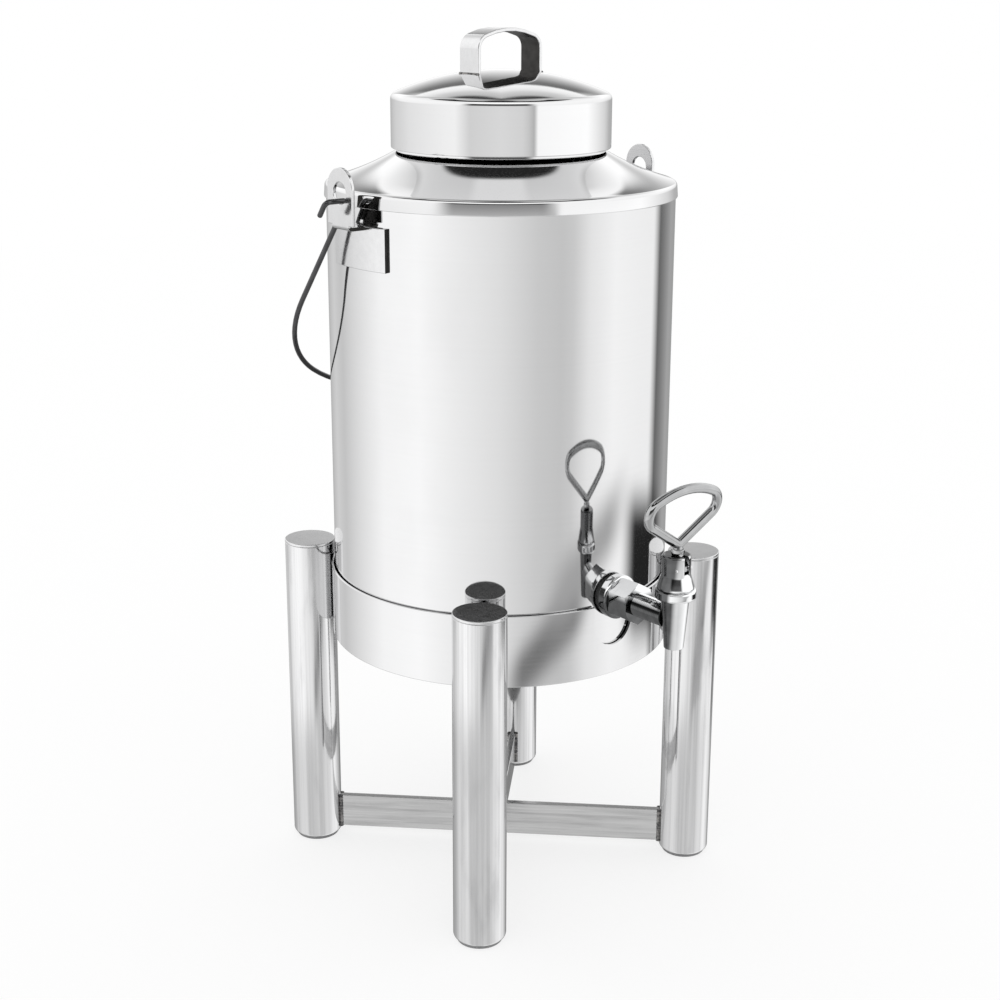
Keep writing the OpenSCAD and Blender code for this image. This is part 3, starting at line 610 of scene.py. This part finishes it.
def bent_strip(name, start, width, moves, thickness):
    """A strip bent in the X and Z plane; each move is a run (x, z) or a bend (x, z, angle)."""
    strip = drawn_line(name, [Vector(start) - Vector(width)/2, Vector(start) + Vector(width)/2])
    for move in moves:
        if len(move) == 2:
            bpy.ops.mesh.extrude_region_move(
                TRANSFORM_OT_translate={"value": (move[0], 0, move[1])})
        else:
            turn = math.radians(move[2])
            bpy.ops.mesh.spin(
                steps=max(4, round(abs(move[2])/9)), angle=turn,
                center=(move[0], 0, move[1]), axis=(0, 1, 0))
    closed_up()
    thickened(strip, thickness, 0)
    return strip


def painted_shade_steel():
    """Unpolished plate for faces that the polishing wheel can't reach, painted nearly black as the
    shade that falls on them.
    """
    material, shader, place = start_finish("painted_shade_steel")
    scale = place.noise((200, 200, 200), 4.0)
    set_finish(shader, {
        "Base Color": scale.blend((0.06, 0.058, 0.056), (0.026, 0.025, 0.024)),
        "Metallic": 1.0,
        "Roughness": 0.28 + scale*0.2,
        "Normal": scale.bump(0.00003)})
    return material


def unpolished_and_shaded(piece, finish, middle, edge_top=0.0, facing=0.6):
    """Gives a second finish, duller and in some uses painted dark as shade, to faces that look towards
    a middle point and to low upright edges.
    """
    piece.data.materials.append(finish)
    for face in piece.data.polygons:
        inward = (Vector(middle) - face.center).normalized()
        sheared = abs(face.normal.y) > facing and face.center.z < edge_top
        if face.normal.dot(inward) > facing or sheared:
            face.material_index = 1


painted_shade_finish = painted_shade_steel()
eye_outline = (
    [(-ear_w/2, upright_z), (ear_w/2, upright_z)]
    + arc((0, eye_z), ear_w/2, 0, 180, 40))
eye = plate_from("ear_eye_right", [(eye_in, y, z) for y, z in eye_outline], (ear_t, 0, 0))
bpy.ops.object.select_all(action="DESELECT")
bpy.ops.mesh.primitive_cylinder_add(
    vertices=64, radius=ear_hole_r, depth=4*ear_t,
    location=(eye_in + ear_t/2, 0, ear_hole_z), rotation=(0, math.pi/2, 0))
cut_by(eye, bpy.context.object)
softened(eye, ear_edge)
middle_z = base_top - ear_t/2
bend_r = ear_bend + ear_t/2
shelf = bent_strip(
    "ear_shelf", (wall_r, 0, middle_z), (0, 2*ear_neck_half, 0),
    [(eye_in - ear_bend - wall_r, 0),
     (eye_in - ear_bend, middle_z + bend_r, 90),
     (0, 3*ear_bend)], ear_t)
softened(shelf, ear_edge)
base_turn = math.asin(ear_base_half/wall_r)
base_x = wall_r*math.cos(base_turn)
base = drawn_line(
    "ear_base", [Vector((base_x, -ear_base_half, z)) for z in (eye_low.z, base_top)])
bpy.ops.mesh.spin(steps=28, angle=-2*base_turn, center=(0, 0, 0), axis=(0, 0, 1))
closed_up()
thickened(base, ear_t, 1)
softened(base, ear_edge)
ear = joined(eye, shelf, base)
ear_twin = copied(ear, "ear_eye_left", (0, 0, 0))
bpy.ops.transform.resize(value=(-1, 1, 1), center_override=(0, 0, 0))
bpy.ops.object.transform_apply(location=True, rotation=True, scale=True)
bpy.ops.object.mode_set(mode="EDIT")
closed_up()
fitted(ear, "vessel", plate_finish, ["ear_right"])
fitted(ear_twin, "vessel", plate_finish, ["ear_left"])
unpolished_and_shaded(ear, satin_finish, (0, 0, ear_hole_z), base_top)
# The left ear's inward faces and low side edges are painted nearly black: painted shade in the gap
# behind the ear.
unpolished_and_shaded(ear_twin, painted_shade_finish, (0, 0, ear_hole_z), base_top)


# Tap inlet: a threaded shank through the wall, drawn tight by a hexagon nut and a flange
# outside and a lock nut inside, with a black rubber seal against each side of the sheet.
nut_af = 0.025
nut_chamfer = 0.0011
nut_edge = 0.0003
flange_edge = 0.0018
flange_back = 0.0004
shank_r = 0.0079
tap_y = -0.176
# Where shade is painted into the tap's plating: behind the tap and under its inlet, not on the inlet's
# top side.
painted_shade_front = 0.0045
painted_shade_back = 0.01
painted_shade_base = 0.23
painted_shade_lean = 0.08
painted_shade_soft = 0.0015
painted_shade_dark = 0.85
inlet_soft = 0.001
inlet_shaded_to = 0.003
inlet_unshaded_from = 0.008
flange_low, flange_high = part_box("tap_flange")
flange_r = (flange_high.z - flange_low.z)/2
inlet_z = (flange_high.z + flange_low.z)/2
nut_low, nut_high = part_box("tap_nut")


def painted_shade_share(place):
    """How dark the plating is painted as shade: more behind and below the tap, with the inlet's top
    side left bright.
    """
    depth = place.node("ShaderNodeSeparateXYZ", None, {0: place}, "Y")
    rise = place.node("ShaderNodeSeparateXYZ", None, {0: place}, "Z")
    edge = tap_y - painted_shade_front + painted_shade_base*painted_shade_lean
    behind = (depth + rise*painted_shade_lean).steps(edge - painted_shade_soft, edge + painted_shade_soft)
    inlet_end = tap_y + painted_shade_back
    inlet = depth.steps(inlet_end - inlet_soft, inlet_end + inlet_soft)
    top_side = rise.steps(inlet_z + inlet_shaded_to, inlet_z + inlet_unshaded_from)
    return behind*(1 - inlet*top_side)*painted_shade_dark


def plate_with_painted_shade(name, even_painted_shade=None):
    """Cast brass under bright plating, with shade painted into its colour: evenly, or only behind and
    below the tap.
    """
    material, shader, place = start_finish(name)
    cloud = place.noise((120, 120, 120), 3.0)
    dark = painted_shade_share(place) if even_painted_shade is None else even_painted_shade
    set_finish(shader, {
        "Base Color": (cloud*0.15 + dark).blend((0.84, 0.845, 0.85), (0.04, 0.041, 0.042)),
        "Metallic": 1.0,
        "Roughness": 0.02 + cloud*0.05,
        "Normal": place.noise((180, 180, 180), 1.0).bump(0.00006)})
    return material


def moulded_rubber():
    """Black food-grade rubber, matt with a dusty bloom."""
    material, shader, place = start_finish("moulded_rubber")
    bloom = place.noise((300, 300, 300), 4.0)
    set_finish(shader, {
        "Base Color": bloom.blend((0.018, 0.018, 0.018), (0.05, 0.05, 0.05)),
        "Roughness": 0.55 + bloom*0.25,
        "Normal": place.noise((2500, 2500, 2500), 1.0).bump(0.00004)})
    return material


# The tap's plating, with painted shade behind and below the tap.
tap_finish = plate_with_painted_shade("plate_with_painted_shade")
rubber_finish = moulded_rubber()
flange_l = flange_high.y - flange_low.y
flange = turned(
    "tap_flange_disc",
    [(shank_r, 0)]
    + arc((flange_r - flange_back, flange_back), flange_back, -90, 0, 3)
    + arc((flange_r - flange_edge, flange_l - flange_edge), flange_edge, 0, 90, 8)
    + [(shank_r, flange_l)],
    (0, flange_high.y, inlet_z), (0, -1, 0))
fitted(flange, "vessel", tap_finish, ["tap_flange"])
nut_corner = nut_af/math.sqrt(3)
nut_l = nut_high.y - nut_low.y
bpy.ops.object.select_all(action="DESELECT")
bpy.ops.mesh.primitive_cylinder_add(
    vertices=6, radius=nut_corner, depth=nut_l,
    location=(0, (nut_low.y + nut_high.y)/2, inlet_z), rotation=(math.pi/2, 0, 0))
nut = named("tap_hex_nut")
bpy.ops.object.transform_apply(location=True, rotation=True, scale=True)
softened(nut, nut_edge, 50, 2)
rim_cutter = turned(
    "rim_cutter",
    [(0, 0), (nut_af/2, 0), (nut_corner, nut_chamfer), (nut_corner, nut_l - nut_chamfer),
     (nut_af/2, nut_l), (0, nut_l)],
    (0, nut_high.y, inlet_z), (0, -1, 0), 72)
cut_by(nut, rim_cutter, "INTERSECT")
fitted(nut, "vessel", tap_finish, ["tap_nut"], 20)
keeps_solid("tap_lock_nut", tap_finish)
keeps_solid("tap_outer_seal", rubber_finish)
keeps_solid("tap_inner_seal", rubber_finish)


# Tap body: one brass casting, plated bright, with a chamber that tapers down to the spout.
# The shank is part of it and carries the thread for both nuts.
spout_r = 0.0065
spout_bore = 0.00425
chamber_r = 0.00925
chamber_bore = 0.00625
chamber_z = 0.2442
collar_r = 0.0105
collar_step = 0.0004
seat_z = 0.2252
lip_edge = 0.0006
shank_root = 0.0073
thread_pitch = 0.0015
crest_at = 0.25
root_at = 0.75
body_low, body_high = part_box("tap_body")
body = turned(
    "tap_casting",
    [(spout_bore, body_low.z)]
    + arc((spout_r - lip_edge, body_low.z + lip_edge), lip_edge, -90, 0, 5)
    + [(chamber_r, chamber_z), (collar_r, chamber_z + collar_step), (collar_r, body_high.z)]
    + [(chamber_bore, body_high.z), (chamber_bore, seat_z), (spout_bore, seat_z)],
    (0, tap_y, 0), steps=72)
shank_l = body_high.y - tap_y - chamber_bore
crests = []
for i in range(int(shank_l/thread_pitch)):
    crests += [(shank_r, (i + crest_at)*thread_pitch), (shank_root, (i + root_at)*thread_pitch)]
shank = turned(
    "tap_shank",
    [(spout_bore, 0), (shank_root, 0)] + crests + [(shank_r, shank_l), (spout_bore, shank_l)],
    (0, body_high.y, inlet_z), (0, -1, 0), 72)
body = joined(body, shank)
fitted(body, "vessel", tap_finish, ["tap_body"])


# Ring nut and bonnet: the ring clamps the bell-shaped bonnet down on the body.
# The bonnet guides the stem and is slotted for the lever, whose pin goes through its cheeks.
ring_nut_edge = 0.00165
ring_nut_bore = 0.0095
bonnet_foot = 0.012
bonnet_top = 0.0095
bonnet_foot_h = 0.002
bonnet_taper = 0.01
bonnet_rim = 0.0015
bonnet_lip = 0.0006
bonnet_blend = 0.0006
blend_at = 0.8
bonnet_edge = 0.0002
slot_half = 0.00205
slot_back = 0.00185
slot_z = 0.26255
slot_clear = 1.05
stem_way = 0.00355
web_z = 0.26055
nut_ring_low, nut_ring_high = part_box("union_ring")
nut_ring_r = (nut_ring_high.x - nut_ring_low.x)/2
ring_nut = turned(
    "tap_ring_nut",
    [(ring_nut_bore, nut_ring_low.z)]
    + arc((nut_ring_r - ring_nut_edge, nut_ring_low.z + ring_nut_edge), ring_nut_edge, -90, 0)
    + arc((nut_ring_r - ring_nut_edge, nut_ring_high.z - ring_nut_edge), ring_nut_edge, 0, 90)
    + [(ring_nut_bore, nut_ring_high.z)],
    (0, tap_y, 0))
fitted(ring_nut, "vessel", tap_finish, ["union_ring"])
bonnet_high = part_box("bonnet")[1].z
bonnet_base = nut_ring_high.z
bonnet = turned(
    "tap_bonnet",
    [(0, bonnet_base - bonnet_foot_h), (ring_nut_bore, bonnet_base - bonnet_foot_h)]
    + [(ring_nut_bore, bonnet_base)]
    + arc((bonnet_foot - bonnet_lip, bonnet_base + bonnet_lip), bonnet_lip, -90, 0, 5)
    + [(bonnet_foot, bonnet_base + bonnet_foot_h)]
    + [(bonnet_top + bonnet_blend, bonnet_base + blend_at*bonnet_taper),
       (bonnet_top, bonnet_base + bonnet_taper)]
    + arc((bonnet_top - bonnet_rim, bonnet_high - bonnet_rim), bonnet_rim, 0, 90, 6)
    + [(stem_way, bonnet_high), (stem_way, web_z), (0, web_z)],
    (0, tap_y, 0))
slot_l = bonnet_foot + slot_back
slot_top = slot_clear*bonnet_high
lever_slot = block(
    "slot_cutter", (0, tap_y + slot_back - slot_l/2, (slot_z + slot_top)/2),
    (2*slot_half, slot_l, slot_top - slot_z))
cut_by(bonnet, lever_slot)
softened(bonnet, bonnet_edge, 50, 2)
fitted(bonnet, "vessel", tap_finish, ["bonnet"])
keeps_solid("lever_pin", plate_finish)


# Valve: a forked stem with a cross pin and a black rubber cup, pressed on its seat
# by a coil of drawn spring wire between the cup and the bonnet.
spring_turns = 6
spring_wire = 0.0005
coil_steps = 32
spring_low, spring_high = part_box("tap_spring")
spring_r = (spring_high.x - spring_low.x)/2 - spring_wire


def spring_steel():
    """Drawn spring wire: grey, with lines along the wire."""
    material, shader, place = start_finish("spring_steel")
    drawn = place.noise((700, 700, 2600), 2.0)
    set_finish(shader, {
        "Base Color": drawn.blend((0.6, 0.6, 0.6), (0.45, 0.45, 0.45)),
        "Metallic": 1.0,
        "Roughness": 0.2 + drawn*0.15,
        "Normal": drawn.bump(0.00001)})
    return material


bpy.ops.object.select_all(action="DESELECT")
bpy.ops.mesh.primitive_circle_add(
    vertices=12, radius=spring_wire, location=(spring_r, 0, spring_wire),
    rotation=(math.pi/2, 0, 0))
coil = named("tap_coil")
bpy.ops.object.transform_apply(location=True, rotation=True, scale=True)
wind = coil.modifiers.new("winding", "SCREW")
wind.axis = "Z"
wind.iterations = spring_turns
wind.screw_offset = (spring_high.z - spring_low.z - 2*spring_wire)/spring_turns
wind.steps = coil_steps
wind.render_steps = coil_steps
applied(coil)
bpy.ops.object.mode_set(mode="EDIT")
bpy.ops.mesh.select_all(action="SELECT")
bpy.ops.mesh.fill_holes(sides=0)
bpy.ops.transform.translate(value=(0, tap_y, spring_low.z))
closed_up()
fitted(coil, "vessel", spring_steel(), ["tap_spring"], 60)
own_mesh(coil)
keeps_solid("valve_stem", plate_finish)
keeps_solid("stem_pin", plate_finish)
keeps_solid("seat_cup", rubber_finish)


# Loop lever: a finger loop cast in one with its boss and the tongue in the bonnet's slot.
# It is plated like the tap, painted evenly darker as shade, and leans a little forward at rest.
loop_r = 0.0032
loop_lean = math.radians(9)
loop_foot = Vector((0, -0.177, 0.28125))
loop_foot_r = 0.004
loop_corner_r = 0.009
loop_crown_r = 0.06
loop_half = 0.0303
loop_rise = 0.0376
boss_r = 0.0045
boss_h = 0.003
boss_edge = 0.0006
tongue_half = 0.0017
tongue_w = 0.0038
pin_spot = Vector((0, -0.182, 0.2653))
eye_r = 0.0024
toe_r = 0.0015
toe_l = 0.006
toe_round = 0.9*toe_r
stalk_r = 0.8*loop_r
# How much darker the lever's plating is painted, evenly, as shade.
loop_painted_shade = 0.5


def bent_bar(name, radius, start, heading, normal, moves, sides=28):
    """A round bar along its own path; each move is a length, or a bend's radius and angle."""
    place = Vector(start)
    heading = Vector(heading).normalized()
    normal = Vector(normal).normalized()
    bpy.ops.object.select_all(action="DESELECT")
    bpy.ops.mesh.primitive_circle_add(
        vertices=sides, radius=radius, location=place,
        rotation=heading.to_track_quat("Z", "Y").to_euler())
    bar = named(name)
    bpy.ops.object.mode_set(mode="EDIT")
    for move in moves:
        if isinstance(move, tuple):
            bend, degrees = move
            side = normal.cross(heading)*math.copysign(1, degrees)
            centre = place + side*bend
            bpy.ops.mesh.spin(
                steps=max(6, round(abs(degrees)/4)), angle=-math.radians(degrees),
                center=centre, axis=normal)
            turn = Quaternion(normal, math.radians(degrees))
            place = centre + turn @ (place - centre)
            heading = turn @ heading
        else:
            bpy.ops.mesh.extrude_region_move(TRANSFORM_OT_translate={"value": heading*move})
            place = place + heading*move
    return bar


loop_inset = loop_half - loop_corner_r
crown_drop = math.sqrt((loop_crown_r - loop_corner_r)**2 - loop_inset**2)
corner_up = loop_rise - loop_crown_r + crown_drop
crown_angle = math.degrees(math.asin(loop_inset/(loop_crown_r - loop_corner_r)))
side_span = math.hypot(loop_inset, corner_up - loop_foot_r)
side_run = math.sqrt(side_span**2 - (loop_corner_r - loop_foot_r)**2)
foot_angle = math.degrees(
    math.atan2(corner_up - loop_foot_r, loop_inset)
    - math.asin((loop_corner_r - loop_foot_r)/side_span))
corner_angle = 180 - foot_angle - crown_angle
up = Vector((0, -math.sin(loop_lean), math.cos(loop_lean)))
loop = bent_bar(
    "tap_loop", loop_r, loop_foot, (1, 0, 0), Vector((1, 0, 0)).cross(up),
    [(loop_foot_r, foot_angle), side_run, (loop_corner_r, corner_angle),
     (loop_crown_r, 2*crown_angle),
     (loop_corner_r, corner_angle), side_run, (loop_foot_r, foot_angle)])
closed_up()
boss_z = loop_foot.z - loop_r - boss_h/2
boss = turned(
    "loop_boss",
    [(0, boss_z - boss_h/2)]
    + arc((boss_r - boss_edge, boss_z - boss_h/2 + boss_edge), boss_edge, -90, 0, 4)
    + arc((boss_r - boss_edge, boss_z + boss_h/2 - boss_edge), boss_edge, 0, 90, 4)
    + [(loop_r, boss_z + boss_h/2), (stalk_r, loop_foot.z), (0, loop_foot.z)],
    (0, loop_foot.y, 0), steps=56)
neck = Vector((0, loop_foot.y, boss_z)) - pin_spot
neck_side = Vector((0, -neck.z, neck.y)).normalized()*tongue_w/2
neck_points = [
    pin_spot - neck_side, pin_spot + neck - neck_side,
    pin_spot + neck + neck_side, pin_spot + neck_side]
tongue = plate_from(
    "loop_tongue", [p - Vector((tongue_half, 0, 0)) for p in neck_points], (2*tongue_half, 0, 0))
toe = block(
    "loop_toe", pin_spot + Vector((0, toe_l/2, 0)), (2*tongue_half, toe_l, 2*toe_r))
softened(toe, toe_round, 40, 4)
hub = turned(
    "loop_hub", [(0, -tongue_half), (eye_r, -tongue_half), (eye_r, tongue_half), (0, tongue_half)],
    pin_spot, (0, 0, 1), 32)
bpy.ops.object.mode_set(mode="EDIT")
bpy.ops.transform.rotate(value=math.pi/2, orient_axis="Y", center_override=pin_spot)
closed_up()
loop = joined(loop, boss, tongue, toe, hub)
fitted(loop, "lever", plate_with_painted_shade("lever_painted_shade_plate", loop_painted_shade), ["loop_lever"])


# Lid: spun from sheet with a straight skirt and a low dome, polished to a mirror.
# A rubber ring under the dome seats on the neck's bead.
lid_edge = 0.005
dome_r = 0.18
lid_hem = 0.0006
lid_low, lid_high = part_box("lid_shell")
lid_r = (lid_high.x - lid_low.x)/2
dome_z = lid_high.z - dome_r
edge_rise = math.sqrt((dome_r - lid_edge)**2 - (lid_r - lid_edge)**2)
edge_angle = math.degrees(math.atan2(edge_rise, lid_r - lid_edge))
edge_spot = (lid_r - lid_edge, dome_z + edge_rise)
lid = turned(
    "lid_spinning",
    [(lid_r - wall_t, lid_low.z)]
    + arc((lid_r - lid_hem, lid_low.z + lid_hem), lid_hem, -90, 0, 4)
    + arc(edge_spot, lid_edge, 0, edge_angle, 14)
    + arc((0, dome_z), dome_r, edge_angle, 90, 26)
    + arc((0, dome_z), dome_r - wall_t, 90, edge_angle, 20)
    + arc(edge_spot, lid_edge - wall_t, edge_angle, 0, 8),
    (0, 0, 0), steps=192)
fitted(lid, "lid", sheet_finish, ["lid_shell"])
keeps_solid("lid_gasket", rubber_finish)


# Lid handle: a polished strap bent into an arch and welded to the dome on its two ends.
# Its crown is slightly bowed and its long edges are rounded.
handle_t = 0.0024
handle_w = 0.0195
handle_corner = 0.010
handle_crown = 0.060
handle_edge = 0.0007
handle_sink = 0.0004
handle_bead = 0.0009
handle_low, handle_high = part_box("lid_handle")
handle_half = (handle_high.x - handle_low.x)/2
strap_half = handle_half - handle_t/2
strap_corner = handle_corner - handle_t/2
strap_crown = handle_crown - handle_t/2
strap_inset = strap_half - strap_corner
strap_top = handle_high.z - handle_t/2
strap_drop = math.sqrt((strap_crown - strap_corner)**2 - strap_inset**2)
spring_z = strap_top - strap_crown + strap_drop
strap_angle = math.degrees(math.asin(strap_inset/(strap_crown - strap_corner)))
strap_foot = handle_low.z - handle_sink
handle = bent_strip(
    "lid_strap", (strap_half, 0, strap_foot), (0, handle_w, 0),
    [(0, spring_z - strap_foot),
     (strap_inset, spring_z, 90 - strap_angle),
     (0, strap_top - strap_crown, 2*strap_angle),
     (-strap_inset, spring_z, 90 - strap_angle),
     (0, strap_foot - spring_z)], handle_t)
softened(handle, handle_edge)
fitted(handle, "lid", plate_finish, ["lid_handle"])
for side, name in ((-1, "left"), (1, "right")):
    spot = (side*handle_half, -handle_w/2, strap_foot + handle_bead/2)
    bead = weld_bead("weld_handle_" + name, handle_bead, handle_w, spot, (0, 1, 0))
    fitted(bead, "lid", weld_finish, [], 60)
# The strap's inside faces are painted nearly black: painted shade under the arch.
unpolished_and_shaded(handle, painted_shade_finish, (0, 0, (spring_z + strap_foot)/2))


# Bail: one length of stainless wire, bent to a hoop and hooked through both ears.
# It hangs behind the vessel and rests against its wall.
bail_r = 0.00175
bail_half = 0.12625
bail_hook = 0.00335
bail_pivot_l = 0.0095
bail_tail = 0.009
bail_reach = 0.197
bail_inset = 0.0285
bail_crown_extra = 0.046
bail_z = 0.49005
bail_rest = 0.0003
bail_tilt = math.asin((wall_r + bail_r + bail_rest)/bail_reach)
tail_round = 0.7*bail_r


def drawn_wire():
    """Drawn stainless wire, duller than the sheet and streaked along its length."""
    material, shader, place = start_finish("drawn_wire")
    drawn = place.noise((900, 120, 120), 3.0)
    set_finish(shader, {
        "Base Color": drawn.blend((0.11, 0.11, 0.112), (0.05, 0.05, 0.052)),
        "Metallic": 1.0,
        "Roughness": 0.12 + drawn*0.12,
        "Normal": drawn.bump(0.00002)})
    return material


bail_corner = bail_half - bail_inset
bail_crown = bail_corner + bail_crown_extra
bail_angle = math.degrees(math.asin(bail_inset/bail_crown_extra))
bail_drop = math.sqrt(bail_crown_extra**2 - bail_inset**2)
bail_spring = bail_reach - bail_crown + bail_drop
down = Vector((0, math.sin(bail_tilt), -math.cos(bail_tilt)))
tail_x = bail_half + 2*bail_hook + bail_pivot_l
tail_end = Vector((tail_x, 0, bail_z)) + down*(bail_hook + bail_tail)
bail_sweep = down.cross(Vector((1, 0, 0)))
side_move = bail_spring - bail_hook
bail = bent_bar(
    "bail_hoop", bail_r, tail_end, -down, bail_sweep,
    [bail_tail, (bail_hook, 90), bail_pivot_l, (bail_hook, 90), side_move,
     (bail_corner, bail_angle - 90), (bail_crown, -2*bail_angle), (bail_corner, bail_angle - 90),
     side_move, (bail_hook, 90), bail_pivot_l, (bail_hook, 90), bail_tail])
bpy.ops.mesh.select_all(action="SELECT")
bpy.ops.mesh.fill_holes(sides=0)
closed_up()
softened(bail, tail_round, 60, 4)
fitted(bail, "bail", drawn_wire(), ["bail_wire"], 40)


# Floor and studio: a plain white floor that keeps the object's shadow, under an even white sky.
# What polished metal mirrors is a ring of soft white panels with grey gaps, a dark room in front
# and a lit wall behind. Angles are in degrees: round from the camera to the right, and up.
floor_half = 3.0
floor_glow = 0.75
brightest = 1.3
panel_gain = 1.17
all_round = (-180, 180)
floor_to_top = (-10, 90)
ring_tilt = 0.064
rear_tilt = 0.6
high_tilt = 0.06
card_level = 0.02
shade_level = 0.2
grey_level = 0.45
room_level = 0.03
bpy.ops.object.select_all(action="DESELECT")
bpy.ops.mesh.primitive_plane_add(size=2*floor_half, location=(0, 0, 0))
floor = bpy.context.object
floor.name = "studio_floor"
floor.visible_glossy = False


def white_floor():
    """Matt white paint with a trace of mottling."""
    material, shader, place = start_finish("white_floor")
    mottle = place.noise((9, 9, 9), 2.0)
    set_finish(shader, {
        "Base Color": mottle.blend((1.0, 1.0, 1.0), (0.99, 0.99, 0.99)),
        "Roughness": 1.0,
        "Specular IOR Level": 0.0})
    seen = place.node("ShaderNodeLightPath", output="Is Camera Ray")*floor_glow
    glow = place.node("ShaderNodeEmission", None, {"Strength": 1.0})
    painted = Wire(material.node_tree, shader.outputs[0])
    mixed = place.node("ShaderNodeMixShader", None, {0: seen, 1: painted, 2: glow})
    surface = material.node_tree.nodes["Material Output"].inputs["Surface"]
    material.node_tree.links.new(mixed.socket, surface)
    return material


floor.data.materials.append(white_floor())

world = bpy.data.worlds.new("studio")
bpy.context.scene.world = world
world.use_nodes = True
sky = Wire(world.node_tree)
direction = sky.node("ShaderNodeTexCoord", output="Generated")
toward = (math.sin(camera_turn), -math.cos(camera_turn), 0)
rightward = (math.cos(camera_turn), math.sin(camera_turn), 0)


def along_axis(axis):
    """How far the looked-at direction points along an axis."""
    return sky.node(
        "ShaderNodeVectorMath", {"operation": "DOT_PRODUCT"}, {0: direction, 1: axis}, "Value")


azimuth = sky.maths("ARCTAN2", along_axis(rightward), along_axis(toward))*(180/math.pi)
height = sky.maths("ARCSINE", along_axis((0, 0, 1)))*(180/math.pi)


def level_of(angle, span, stops):
    """The panels' level along an angle, from pairs of an angle and a level."""
    low, high = span
    share = (angle - low)*(1/(high - low))
    places = [((at - low)/(high - low), level/brightest) for at, level in stops]
    return sky.node("ShaderNodeValToRGB", {"stops": places}, {"Fac": share})*brightest


def between(angle, low, high, soft):
    """1 between two angles and 0 outside them, with soft ends."""
    return angle.steps(low - soft, low + soft)*(1 - angle.steps(high - soft, high + soft))


def over(below, above, share):
    """One level laid over another by a share."""
    return below + (above - below)*share


# What upright steel mirrors: the lid's, the wall's and the legs' part of the ring of panels.
lid_ring = level_of(azimuth, all_round, [
    (-180, 0.3), (-140, 0.75), (-110, 0.95), (-60, 1.1), (-48, 1.12), (-32, 0.8), (0, 0.88),
    (22, 0.82), (28, 0.72), (34, 0.55), (38, 1.2), (100, 1.28), (135, 0.8), (150, 0.5), (180, 0.3)])
wall_ring = level_of(azimuth, all_round, [
    (-180, 0.25), (-145, 0.7), (-130, 0.66), (-109, 0.9), (-85, 1.16), (-55, 1.22), (-30, 1.07),
    (0, 0.92), (24, 0.74), (40, 0.69), (48, 0.74), (60, 0.98), (80, 1.14), (119, 1.06),
    (128, 0.16), (140, 0.3), (150, 0.4), (180, 0.25)])
leg_ring = level_of(azimuth, all_round, [
    (-180, 0.2), (-126, 0.5), (-100, 0.8), (-53, 0.92), (-40, 0.72), (-13, 0.68), (13, 0.75),
    (26, 0.7), (53, 0.82), (84, 1.0), (102, 1.12), (126, 0.8), (150, 0.3), (180, 0.2)])
# What sloping steel mirrors: the wall behind, the room in front and the panels at the sides.
sideways = azimuth.maths("ABSOLUTE", azimuth)
aside = 180 - sideways
rear_wall = level_of(height + aside*rear_tilt, floor_to_top, [
    (-10, 1.2), (5, 1.0), (15, 0.8), (21, 0.62), (27, 0.4), (32, 0.22), (36, 0.16), (38, 1.15),
    (43, 1.0), (46, 0.75), (49.5, 0.62), (51.5, 0.06), (60, 0.06), (90, 0.3)])
rear_side = level_of(height, floor_to_top, [
    (-10, 0.6), (0, 0.75), (8, 1.0), (20, 1.25), (28, 1.15), (36, 0.9), (42, 0.65), (60, 0.5),
    (90, 0.3)])
front_room = level_of(height, floor_to_top, [
    (-10, 0.4), (4, 0.2), (12, 0.06), (25, 0.05), (30, 1.28), (53.5, 1.28), (55, 0.04),
    (74, 0.04), (90, 0.3)])
side_panels = level_of(height, floor_to_top, [
    (-10, 1.1), (30, 1.2), (60, 1.0), (75, 0.6), (90, 0.35)])

# Dark cards and soft shades, laid over the panels; the upper part joins on at eye level.
low_card = between(azimuth, 97, 136, 9)*between(height, -21.5, -17.0, 1.0)
slant = height - azimuth*ring_tilt
ring_shade = between(slant, -24.9, -23.1, 0.7)*between(azimuth, 8, 58, 9)
ring_grey = between(slant, -24, -22.0, 0.9)*between(azimuth, 36, 88, 12)
ring = over(leg_ring, wall_ring, height.steps(-25.5, -23.5))
ring = over(ring, shade_level, ring_shade)
ring = over(ring, grey_level, ring_grey)
ring = over(ring, card_level, low_card)
ring = over(ring, lid_ring, height.steps(-7, -6.2))
front = between(azimuth, -37, 33, 8)
rear = azimuth.steps(120, 150) + (1 - azimuth.steps(-150, -120))
front_high = (1 - sideways.steps(108, 132))*between(height + sideways*high_tilt, 55.3, 72, 1)
upper = over(over(side_panels, front_room, front), room_level, front_high)
upper = over(upper, over(rear_wall, rear_side, aside.steps(12, 17)), rear)
level = over(ring, upper, height.steps(-3, 3))
glossy = sky.node("ShaderNodeLightPath", output="Is Glossy Ray")
strength = over(1, level*panel_gain, glossy)
background = world.node_tree.nodes["Background"]
background.inputs["Color"].default_value = (1, 1, 1, 1)
world.node_tree.links.new(strength.socket, background.inputs["Strength"])
